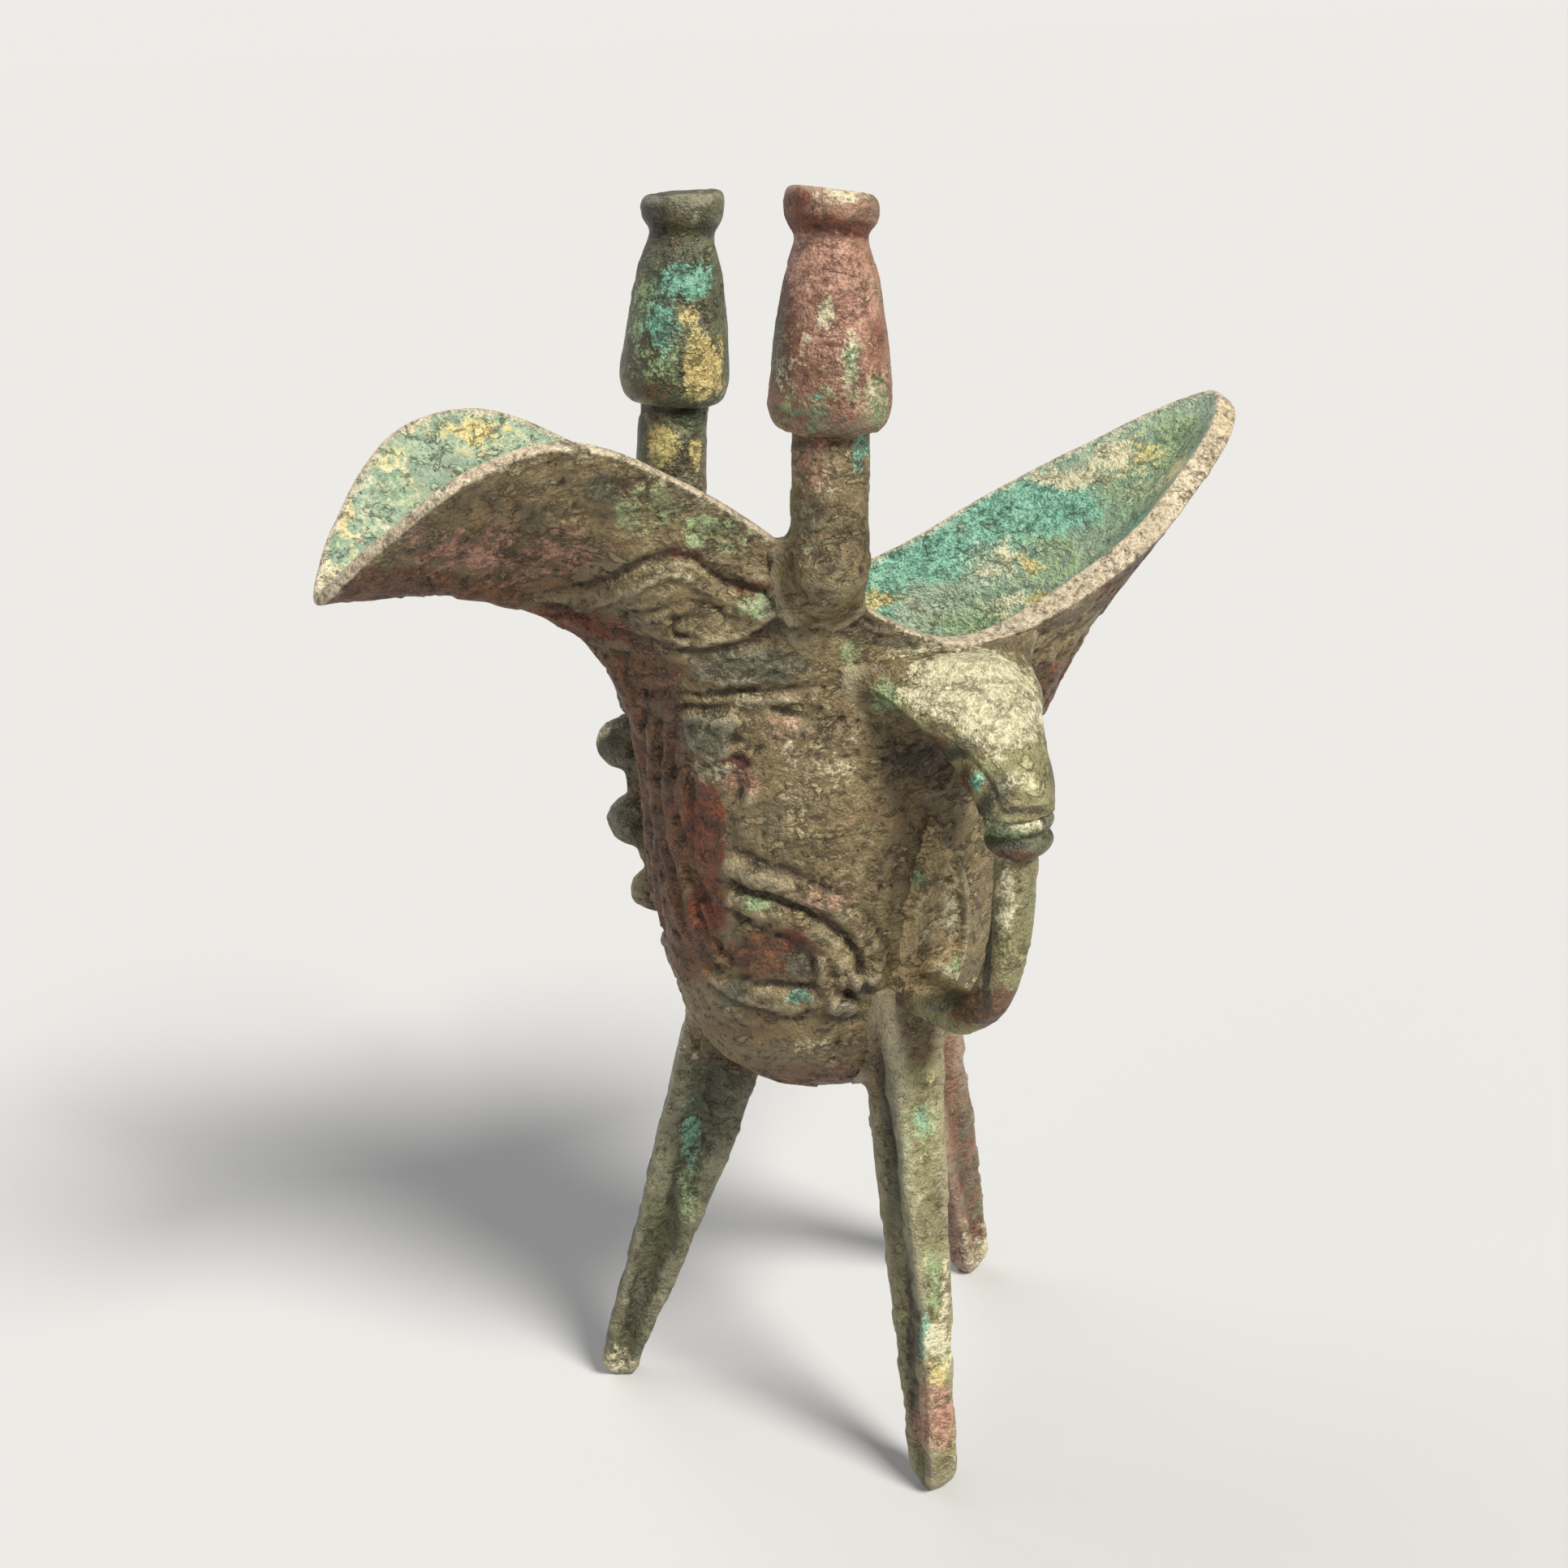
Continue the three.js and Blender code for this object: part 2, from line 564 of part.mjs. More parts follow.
function strapSolid() {
  const top = COLLAR_Z - JOINT_GAP;
  const path = new THREE.SplineCurve([
    new THREE.Vector2(BOWL_HALF_WIDTH * 0.5, STRAP_FOOT_Z + 1),
    new THREE.Vector2(BOWL_HALF_WIDTH + 7, STRAP_FOOT_Z - 0.5),
    new THREE.Vector2(STRAP_REACH - 4.5, STRAP_FOOT_Z + 1),
    new THREE.Vector2(STRAP_REACH - 0.6, mix(STRAP_FOOT_Z, top, 0.25)),
    new THREE.Vector2(STRAP_REACH, mix(STRAP_FOOT_Z, top, 0.53)),
    new THREE.Vector2(STRAP_REACH, top),
  ]);
  const size = (t) => [
    mix(STRAP_WIDTH / 2 + 1.4, STRAP_WIDTH / 2, THREE.MathUtils.smoothstep(t, 0, 0.35)),
    STRAP_THICKNESS / 2,
    COLLAR_SHIFT * THREE.MathUtils.smoothstep(t, 0.45, 0.95),
  ];
  const bar = solidOf(loftClosed(sweep(path, 16, size, 0.75)));
  const tangLength = COLLAR_HEIGHT + TANG_LENGTH;
  const tang = new THREE.CylinderGeometry(TANG_RADIUS, TANG_RADIUS, tangLength + 2, 20).rotateX(Math.PI / 2);
  return bar.add(solidOf(tang.translate(STRAP_REACH, COLLAR_SHIFT, top + tangLength / 2 - 1)));
}

// A leaf-shaped prism, point upwards, that a skin of the bowl is cut to
function leafSolid(half, low, high) {
  const middle = mix(low, high, 0.35);
  const outline = new THREE.Shape();
  outline.moveTo(0, low);
  outline.bezierCurveTo(half * 0.8, low, half, mix(low, middle, 0.5), half, middle);
  outline.bezierCurveTo(half, mix(middle, high, 0.5), half * 0.3, high - 4, 0, high);
  outline.bezierCurveTo(-half * 0.3, high - 4, -half, mix(middle, high, 0.5), -half, middle);
  outline.bezierCurveTo(-half, mix(low, middle, 0.5), -half * 0.8, low, 0, low);
  const slab = new THREE.ExtrudeGeometry(outline, { depth: 30, bevelEnabled: false, curveSegments: 8 });
  return solidOf(slab.rotateX(Math.PI / 2).rotateZ(Math.PI / 2).translate(10, 0, 0));
}

const handleCore = seenFrom(handle, seatedCore);
const leafSkin = seenFrom(handle, coreSolid(JOINT_GAP + LEAF_THICKNESS));
const leafFloor = seenFrom(handle, coreSolid(JOINT_GAP + LEAF_THICKNESS - LEAF_RECESS));
const strapSeat = seenFrom(handle, coreSolid(JOINT_GAP + LEAF_THICKNESS + JOINT_GAP));
const head = headSolid().subtract(handleCore).subtract(seenFrom(handle, clearWall));
const panel = leafSolid(LEAF_WIDTH / 2 - LEAF_RIM, LEAF_BAND_Z, LEAF_HIGH_Z - 3 * LEAF_RIM).subtract(leafFloor);
const leafBlank = leafSolid(LEAF_WIDTH / 2, LEAF_LOW_Z, LEAF_HIGH_Z).subtract(panel);
const leaf = leafBlank.intersect(leafSkin).subtract(handleCore);
put(handle, "handle_beast_head", geometryOf(head), paleGreenPatina);
put(handle, "handle_collar", collarGeometry(), greenPatina);
put(handle, "handle_strap", geometryOf(strapSolid().subtract(strapSeat)), paleGreenPatina);
put(handle, "handle_leaf_seat", geometryOf(leaf), earthPatina);

// Flanges: a row of rounded lobes standing on a thin web. proud is how far a lobe's middle is from the skin.

function addFlange(name, azimuth, lobes, material) {
  const frame = spoke(azimuth);
  const middles = lobes.map(({ proud, z }) => new THREE.Vector3(skinRadius(azimuth, z) + proud, 0, z));
  const parts = lobes.map(({ size }, i) => {
    const lobe = new THREE.SphereGeometry(1, 14, 8).scale(size * 1.25, FLANGE_THICKNESS / 2, size);
    return solidOf(lobe.translate(middles[i].x, 0, middles[i].z));
  });
  lobes.slice(1).forEach(({ proud, size }, i) => {
    const way = middles[i].clone().sub(middles[i + 1]);
    const width = proud + size;
    const web = new THREE.BoxGeometry(width, FLANGE_THICKNESS * 0.45, way.length());
    web.translate(size * 0.4 - width / 2, 0, way.length() / 2).rotateY(Math.atan2(way.x, way.z));
    parts.push(solidOf(web.translate(middles[i + 1].x, 0, middles[i + 1].z)));
  });
  const whole = parts.reduce((sum, part) => sum.add(part));
  put(frame, name, geometryOf(whole.subtract(seenFrom(frame, seatedCore))), material);
}

const spoutFlangeLobes = [
  { proud: 2.2, z: 113, size: 4.8 },
  { proud: 2.2, z: 100.6, size: 4.6 },
  { proud: 0.9, z: 88.8, size: 4.1 },
];
const tailFlangeLobes = [
  { proud: 4.6, z: 121, size: 3.4 },
  { proud: 4.8, z: 114, size: 3.4 },
  { proud: 4.4, z: 106.5, size: 3.3 },
  { proud: 3.2, z: 98.5, size: 3.2 },
];
addFlange("flange_spout_side", SPOUT_FLANGE_TURN, spoutFlangeLobes, greenPatina);
addFlange("flange_tail_side", 0, tailFlangeLobes, redPatina);

// The origin is on the floor, under the middle of the cup's own box
const box = new THREE.Box3().setFromObject(cup);
const centre = box.getCenter(new THREE.Vector3());
cup.position.set(-centre.x, -centre.y, -box.min.z);

export default cup;
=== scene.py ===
# A three-legged bronze wine cup (jue) with an earthy, flaking patina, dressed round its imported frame.
# Lengths are millimetres in the cup's own modelling frame (Z up, spout -X, tail +X, handle -Y) until place()
# takes them to the frame's metres. Marks that lie on the surface, such as relief lines and patches of colour,
# are given in picture units of the main view and are cast on to the surface from there.
import math

import bpy
import numpy as np
from mathutils import Matrix, Vector
from mathutils.bvhtree import BVHTree


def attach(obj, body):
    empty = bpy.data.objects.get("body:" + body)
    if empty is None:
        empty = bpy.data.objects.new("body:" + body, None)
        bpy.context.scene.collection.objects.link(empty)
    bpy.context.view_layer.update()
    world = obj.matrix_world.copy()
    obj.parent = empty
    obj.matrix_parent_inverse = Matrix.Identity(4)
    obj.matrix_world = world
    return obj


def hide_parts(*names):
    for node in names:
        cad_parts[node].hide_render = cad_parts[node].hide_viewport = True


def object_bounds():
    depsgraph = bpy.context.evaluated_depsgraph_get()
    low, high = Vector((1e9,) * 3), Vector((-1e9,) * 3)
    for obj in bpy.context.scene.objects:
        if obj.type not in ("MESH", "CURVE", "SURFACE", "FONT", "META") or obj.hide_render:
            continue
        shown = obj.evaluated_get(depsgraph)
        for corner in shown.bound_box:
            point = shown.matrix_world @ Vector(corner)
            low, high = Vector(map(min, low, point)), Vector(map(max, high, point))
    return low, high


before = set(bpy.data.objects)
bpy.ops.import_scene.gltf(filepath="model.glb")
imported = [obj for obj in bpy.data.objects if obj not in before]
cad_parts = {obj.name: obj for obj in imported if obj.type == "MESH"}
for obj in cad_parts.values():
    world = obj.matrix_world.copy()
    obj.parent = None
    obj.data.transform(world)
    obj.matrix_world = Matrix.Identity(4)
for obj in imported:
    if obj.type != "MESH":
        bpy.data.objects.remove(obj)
CAD_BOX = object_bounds()
SHIFT = np.array([4.35, -6.937, 0.0])  # modelling frame's point over the frame's origin

# camera

PICTURE = 1932.0  # width and height of the main view, in picture units
FOCUS = 2637.35  # picture units
SENSOR = 36.0
EYE = np.array([-148.93, -269.51, 216.16])
YAW, PITCH, ROLL = (math.radians(v) for v in (-28.3929, 19.5397, -2.209))
FWD = np.array([-math.sin(YAW) * math.cos(PITCH), math.cos(YAW) * math.cos(PITCH), -math.sin(PITCH)])
LEVEL = np.array([math.cos(YAW), math.sin(YAW), 0.0])
LIFT = np.cross(LEVEL, FWD)
RIGHT = LEVEL * math.cos(ROLL) + LIFT * math.sin(ROLL)
UP = LIFT * math.cos(ROLL) - LEVEL * math.sin(ROLL)


def to_picture(p):
    """Where points show in the main view."""
    q = p - EYE
    z = q @ FWD
    return PICTURE / 2 + FOCUS * (q @ RIGHT) / z, PICTURE / 2 - FOCUS * (q @ UP) / z


def add(name, data):
    """A new object in the scene."""
    made = bpy.data.objects.new(name, data)
    bpy.context.scene.collection.objects.link(made)
    return made


camera = add("camera", bpy.data.cameras.new("camera"))
camera.data.sensor_width = SENSOR
camera.data.lens = SENSOR * FOCUS / PICTURE
camera.data.clip_start = 0.01
spot = (EYE - SHIFT) / 1000
camera.matrix_world = Matrix([[*c, s] for c, s in zip(np.array([RIGHT, UP, -FWD]).T, spot)] + [[0, 0, 0, 1]])
bpy.context.scene.camera = camera

# numbers


def smoothstep(v, low, high):
    t = np.clip((v - low) / (high - low), 0, 1)
    return t * t * (3 - 2 * t)


def mix(a, b, t):
    return a + (b - a) * t


def bent(v, power):
    """Values from -1 to 1, drawn towards 0 by a power over 1 and away from it by one under 1."""
    return np.sign(v) * np.abs(v) ** power


def unit(v):
    return v / np.maximum(np.linalg.norm(v, axis=-1, keepdims=True), 1e-9)


def lattice(i, j, k, seed):
    """A value from -1 to 1 for each lattice point, from a hash of its place."""
    h = i.astype(np.uint32) * np.uint32(374761393) + j.astype(np.uint32) * np.uint32(668265263)
    h = h + k.astype(np.uint32) * np.uint32(1274126177) + np.uint32(seed * 97463 + 11)
    h = (h ^ (h >> np.uint32(13))) * np.uint32(1103515245)
    h = (h ^ (h >> np.uint32(15))) * np.uint32(2246822519)
    return ((h ^ (h >> np.uint32(16))) & np.uint32(0xFFFF)).astype(np.float64) / 32767.5 - 1


def noise(p, size, seed, octaves):
    """Smooth noise from -1 to 1 at points p, with lumps about `size` mm across."""
    total, amplitude, whole = 0.0, 1.0, 0.0
    for octave in range(octaves):
        q = p / size * 2**octave + 31.7 * octave + 7.1
        i = np.floor(q).astype(np.int64)
        f = q - i
        f = f * f * f * (f * (f * 6 - 15) + 10)
        value = 0.0
        for corner in range(8):
            o = [(corner >> axis) & 1 for axis in range(3)]
            w = 1.0
            for axis in range(3):
                w = w * (f[..., axis] if o[axis] else 1 - f[..., axis])
            value = value + w * lattice(i[..., 0] + o[0], i[..., 1] + o[1], i[..., 2] + o[2], seed + octave)
        total, whole = total + amplitude * value, whole + amplitude
        amplitude *= 0.55
    return total / whole


def catmull(points, t):
    """A Catmull-Rom spline through the points at t from 0 to 1, with its end points doubled."""
    points = np.asarray(points, float)
    last = len(points) - 1
    place = np.asarray(t, float) * last
    i = np.clip(np.floor(place).astype(int), 0, last - 1)
    f = (place - i)[..., None]
    a, b = points[np.maximum(i - 1, 0)], points[i]
    c, d = points[i + 1], points[np.minimum(i + 2, last)]
    v0, v1 = (c - a) / 2, (d - b) / 2
    return (2 * b - 2 * c + v0 + v1) * f**3 + (-3 * b + 3 * c - 2 * v0 - v1) * f**2 + v0 * f + b


def bezier(a, b, c, d, t):
    """A cubic curve over four points at t from 0 to 1."""
    return (1 - t) ** 3 * a + 3 * (1 - t) ** 2 * t * b + 3 * (1 - t) * t**2 * c + t**3 * d


# meshes


def tube(rings, start, end=None):
    """Vertices and faces over closed rings (rows, columns, 3). A pole closes the start, and one the end."""
    rows, columns, _ = rings.shape
    vertices = rings.reshape(-1, 3)
    i = np.arange(rows - 1)[:, None] * columns
    j = np.arange(columns)[None, :]
    k = (j + 1) % columns
    quads = np.stack([i + j, i + k, i + columns + k, i + columns + j], -1).reshape(-1, 4)
    j, k = j[0], k[0]
    vertices = np.vstack([vertices, [start]])
    faces = [quads, np.stack([k, j, np.full(columns, len(vertices) - 1)], -1)]
    if end is not None:
        vertices = np.vstack([vertices, [end]])
        base = (rows - 1) * columns
        faces.append(np.stack([base + j, base + k, np.full(columns, len(vertices) - 1)], -1))
    return vertices, faces


def capped(rings):
    """A tube with both ends closed at their middles."""
    return tube(rings, rings[0].mean(0), rings[-1].mean(0))


def edges_of(faces):
    pairs = np.vstack([np.stack([f, np.roll(f, -1, axis=1)], -1).reshape(-1, 2) for f in faces])
    return np.unique(np.sort(pairs, axis=1), axis=0)


def averaged(values, edges, times=1):
    """Each vertex's value moved to the mean of its neighbours'."""
    n = len(values)
    values = values.reshape(n, -1)
    a, b = edges.T
    count = np.maximum(np.bincount(edges.ravel(), minlength=n), 1)
    for _ in range(times):
        values = np.stack([(np.bincount(a, v[b], n) + np.bincount(b, v[a], n)) / count for v in values.T], -1)
    return values


def normals_of(vertices, faces):
    out = np.zeros_like(vertices)
    for f in faces:
        p = vertices[f]
        way = np.cross(p[:, 2] - p[:, 0], p[:, -1] - p[:, 1])
        if f.shape[1] == 3:
            way = np.cross(p[:, 1] - p[:, 0], p[:, 2] - p[:, 0])
        for c in range(f.shape[1]):
            for axis in range(3):
                out[:, axis] += np.bincount(f[:, c], way[:, axis], len(vertices))
    return unit(out)


LOW, HIGH = (np.array(v) for v in CAD_BOX)
HAIR = 1e-5  # metres


def first_of_each(sizes):
    """Where each item starts, in a row of items of these sizes."""
    return np.concatenate([[0], np.cumsum(sizes)[:-1]])


def place(name, node, vertices, faces, masks, finish, slot=None):
    """A finished piece of the cup, in the frame's metres and a hair inside the CAD model's box."""
    material, own_slot = finish
    mesh = bpy.data.meshes.new(name)
    at = np.clip((vertices - SHIFT) / 1000, LOW + HAIR, HIGH - HAIR)
    mesh.vertices.add(len(at))
    mesh.vertices.foreach_set("co", at.astype(np.float32).ravel())
    loops = np.concatenate([f.ravel() for f in faces])
    sizes = np.concatenate([np.full(len(f), f.shape[1]) for f in faces])
    mesh.loops.add(len(loops))
    mesh.loops.foreach_set("vertex_index", loops.astype(np.int32))
    mesh.polygons.add(len(sizes))
    mesh.polygons.foreach_set("loop_start", first_of_each(sizes).astype(np.int32))
    mesh.update(calc_edges=True)
    mesh.validate()
    mesh.shade_smooth()
    for key, values in masks.items():
        mesh.attributes.new(key, "FLOAT", "POINT").data.foreach_set("value", np.asarray(values, np.float32))
    mesh.materials.append(material)
    piece = add(name, mesh)
    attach(piece, "root")
    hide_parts(node)


# marks cast from the main view


def flow(points):
    """A smooth line through the points, with five steps from each to the next."""
    return catmull(points, np.linspace(0, 1, (len(points) - 1) * 5 + 1))


def line_distance(x, y, points, reach):
    """How far each x, y lies from a line of points, where that is within reach."""
    far = np.full(x.shape, 1e6)
    points = np.asarray(points, float)
    near = (x > points[:, 0].min() - reach) & (x < points[:, 0].max() + reach)
    near &= (y > points[:, 1].min() - reach) & (y < points[:, 1].max() + reach)
    if near.any():
        u, v, best = x[near], y[near], far[near]
        for (x0, y0), (x1, y1) in zip(points, points[1:]):
            dx, dy = x1 - x0, y1 - y0
            t = np.clip(((u - x0) * dx + (v - y0) * dy) / (dx * dx + dy * dy + 1e-9), 0, 1)
            best = np.minimum(best, np.hypot(u - x0 - t * dx, v - y0 - t * dy))
        far[near] = best
    return far


def stroke(x, y, points, width, power=2):
    """1 on a line through the points, falling to 0 about `width` away. A higher power flattens its top."""
    return np.exp(-((line_distance(x, y, flow(points), 4 * width) / width) ** power))


def field(x, y, points, edge):
    """1 inside a closed outline, falling to 0 over `edge` on each side of it."""
    ring = flow(list(points) + [points[0]])
    distance = line_distance(x, y, ring, 4 * edge)
    inside = np.zeros(x.shape, bool)
    for (x0, y0), (x1, y1) in zip(ring, ring[1:]):
        if y0 != y1:
            inside ^= ((y0 > y) != (y1 > y)) & (x < (x1 - x0) * (y - y0) / (y1 - y0) + x0)
    return smoothstep(np.where(inside, distance, -distance), -edge, edge)


def patches(x, y, table):
    """Soft patches of each patina. A patch is x, y, half width, half height, strength."""
    masks = {channel: np.zeros(x.shape) for channel in PALETTE}
    for channel, spots in table.items():
        for cx, cy, rx, ry, strength in spots:
            r = ((x - cx) / rx) ** 2 + ((y - cy) / ry) ** 2
            masks[channel] = np.maximum(masks[channel], strength * np.exp(-0.7 * r * np.sqrt(r)))
    return masks


# the cup's sizes, as in its CAD model

CENTRE_X, HALF_LENGTH, HALF_WIDTH = 5.5, 30.2, 23.3
FLOOR_Z, WAIST_Z, WALL = 57.2, 100.0, 2.6
RIM_WIDTH, SPOUT_X, SPOUT_Z, SPOUT_WIDTH, CREST_Z = 23.9, -72.3, 146.4, 18.0, 165.6
TAIL_X, TAIL_Z, DIP_Z = 81.0, 156.0, 132.0
SPOUT_LIP, TAIL_LIP = 1.9, 3.7
BOTTOM, BOTTOM_INSIDE = [CENTRE_X, 0, FLOOR_Z], [CENTRE_X, 0, FLOOR_Z + WALL]

# The belly's outline from its lowest point to the waist, as shares of the bowl's half width and of its height
BELLY = [(0, 0), (0.38, 0.042), (0.66, 0.164), (0.82, 0.327), (0.925, 0.56), (0.985, 0.79), (1.01, 1)]
WAIST_SIZE = BELLY[-1][0]
POLE = 0.012  # share of the belly's outline that is left out round its lowest point
BELLY_SECTIONS, NECK_SECTIONS = 9, 11  # in the CAD model, whose wall thins towards the rim by section


def spout_z(s):
    return mix(SPOUT_Z, CREST_Z, s)


def slope_z(s):
    return mix(DIP_Z, CREST_Z, s)


def tail_z(s):
    return mix(DIP_Z, TAIL_Z, s)


def bowl_x(s):
    return CENTRE_X + HALF_LENGTH * s


# x, half width, z, the wall's lean at the rim (x, y, z), place on the belly (degrees), rise, reach
STATIONS = np.array([
    (SPOUT_X, 0, SPOUT_Z, -1, 0, 0, 180, 0.74, 34.4),
    (SPOUT_X * 0.92, 0.48 * SPOUT_WIDTH, spout_z(0.39), -0.95, 0.2, 0.23, 172, 0.79, 29.4),
    (SPOUT_X * 0.75, 0.93 * SPOUT_WIDTH, spout_z(0.91), -0.68, 0.4, 0.61, 161, 0.72, 23.5),
    (SPOUT_X * 0.557, SPOUT_WIDTH, CREST_Z, -0.24, 0.36, 0.9, 149, 0.57, 16.5),
    (SPOUT_X * 0.32, 0.78 * RIM_WIDTH, slope_z(0.75), -0.05, 0.18, 0.98, 134, 0.54, 16.5),
    (bowl_x(-0.48), 0.93 * RIM_WIDTH, slope_z(0.417), 0, 0.1, 1, 117, 0.44, 14),
    (bowl_x(-0.116), RIM_WIDTH, slope_z(0.155), 0, 0.12, 1, 99, 0.4, 12),
    (bowl_x(0.301), RIM_WIDTH, DIP_Z, 0.05, 0.25, 0.96, 80, 0.375, 11),
    (TAIL_X * 0.37, 0.97 * RIM_WIDTH, tail_z(0.07), 0.15, 0.5, 0.85, 60, 0.36, 12),
    (TAIL_X * 0.6, 0.875 * RIM_WIDTH, tail_z(0.333), 0.3, 0.62, 0.72, 40, 0.35, 15),
    (TAIL_X * 0.78, 0.64 * RIM_WIDTH, tail_z(0.625), 0.45, 0.4, 0.8, 22, 0.34, 19),
    (TAIL_X * 0.93, 0.35 * RIM_WIDTH, tail_z(0.883), 0.58, 0.15, 0.8, 9, 0.34, 21),
    (TAIL_X, 0, TAIL_Z, 0.6, 0, 0.8, 0, 0.32, 22),
])
ODD, THROUGH = [1, 4], [6]  # fields that change sign, or run straight on, past each tip


def along(share):
    """The stations' fields at shares of the way round from the spout's tip, and each share's side."""
    side = np.where(share <= 0.5, -1.0, 1.0)
    f = np.where(share <= 0.5, 2 * share, 2 - 2 * share)
    last = len(STATIONS) - 1
    i = np.minimum(np.floor(f * last).astype(int), last - 1)
    t = (f * last - i)[:, None]
    b, c = STATIONS[i], STATIONS[i + 1]

    def beyond(tip, neighbour):
        m = neighbour.copy()
        m[:, ODD] = -neighbour[:, ODD]
        m[:, THROUGH] = 2 * tip[:, THROUGH] - neighbour[:, THROUGH]
        return m

    a = np.where((i > 0)[:, None], STATIONS[np.maximum(i - 1, 0)], beyond(b, c))
    d = np.where((i < last - 1)[:, None], STATIONS[np.minimum(i + 2, last)], beyond(c, b))
    s = (2 * b + (c - a) * t + (2 * a - 5 * b + 4 * c - d) * t**2 + (3 * b - a - 3 * c + d) * t**3) / 2
    return s, side, f


def wall_grid(columns, belly_rows, neck_rows, edge):
    """The wall's outer skin as points (rows, columns, 3) that stop `edge` short of the rim, each row's share
    of the way up, and for each column the wall's lean at the rim and its share of the way to the tail."""
    s, side, f = along(np.arange(columns) / columns)
    turn = np.radians(s[:, 6]) * side
    plan = np.stack([HALF_LENGTH * np.cos(turn), HALF_WIDTH * np.sin(turn), 0 * turn], -1)
    rim = np.stack([s[:, 0], s[:, 1] * side, s[:, 2]], -1)
    lean = unit(np.stack([s[:, 3], s[:, 4] * side, s[:, 5]], -1))

    def on_belly(size, z):
        z = np.broadcast_to(z, (columns,))
        return np.stack([CENTRE_X + plan[:, 0] * size, plan[:, 1] * size, z], -1)

    t = (np.arange(belly_rows) + 1) / belly_rows
    t = POLE + (1 - POLE) * t
    belly = np.stack([on_belly(a, mix(FLOOR_Z, WAIST_Z, b)) for a, b in catmull(BELLY, t)])
    p0 = on_belly(WAIST_SIZE, WAIST_Z)
    p1 = on_belly(WAIST_SIZE, mix(WAIST_Z, rim[:, 2], s[:, 7]))
    p2 = rim - lean * s[:, 8:9]
    long = sum(np.linalg.norm(part, axis=1) for part in (p1 - p0, p2 - p1, rim - p2))
    steps = np.arange(neck_rows) + 1
    neck = bezier(p0, p1, p2, rim, (steps / neck_rows)[:, None, None] * (1 - edge / long)[None, :, None])
    section = np.concatenate([BELLY_SECTIONS * t - 1, BELLY_SECTIONS - 1 + NECK_SECTIONS * steps / neck_rows])
    return np.concatenate([belly, neck]), section / (BELLY_SECTIONS + NECK_SECTIONS - 1), lean, f


def grid_normals(p):
    across = np.roll(p, -1, axis=1) - np.roll(p, 1, axis=1)
    up = np.empty_like(p)
    up[1:-1] = p[2:] - p[:-2]
    up[0], up[-1] = p[1] - p[0], p[-1] - p[-2]
    return unit(np.cross(across, up))


# Relief on the side of the bowl, in picture units. A field is an outline, the width of its edge and its
# height in mm. A stroke is a line, its width and its height, which is negative for a groove.
LENS = [(650, 742), (690, 730), (740, 716), (775, 700), (800, 690), (830, 684), (850, 687), (870, 702),
        (890, 717), (915, 722), (940, 730), (956, 745), (961, 758), (950, 768), (930, 782), (905, 790),
        (870, 798), (830, 795), (800, 785), (765, 775), (735, 765), (700, 748)]
UNDER_LEAF = [(855, 828), (868, 812), (890, 803), (925, 798), (955, 787), (985, 765), (1004, 748),
              (1012, 770), (1008, 810), (1000, 838), (960, 841), (910, 843), (875, 841)]
HORN = [(840, 876), (858, 873), (880, 880), (905, 872), (913, 888), (902, 905), (899, 925), (882, 936),
        (862, 928), (850, 910)]
BELLY_FIELD = [(914, 884), (960, 886), (1010, 892), (1085, 905), (1102, 960), (1098, 1060), (1092, 1130),
               (1070, 1128), (1012, 1090), (960, 1066), (914, 1046), (908, 1000), (932, 965), (934, 932),
               (916, 908)]
LOW_BAND = [(868, 1196), (905, 1214), (970, 1223), (1002, 1223), (1008, 1243), (960, 1244), (925, 1238),
            (890, 1222)]
FIELDS = [(LENS, 6, 0.55), (UNDER_LEAF, 6, 0.45), (HORN, 6, 0.8), (BELLY_FIELD, 9, 0.35), (LOW_BAND, 5, 0.45)]
SCROLL = [(772, 750), (802, 749), (834, 741), (862, 741), (884, 748), (893, 764), (880, 780), (856, 786),
          (834, 779), (828, 766), (840, 757), (858, 757), (866, 766), (858, 772)]
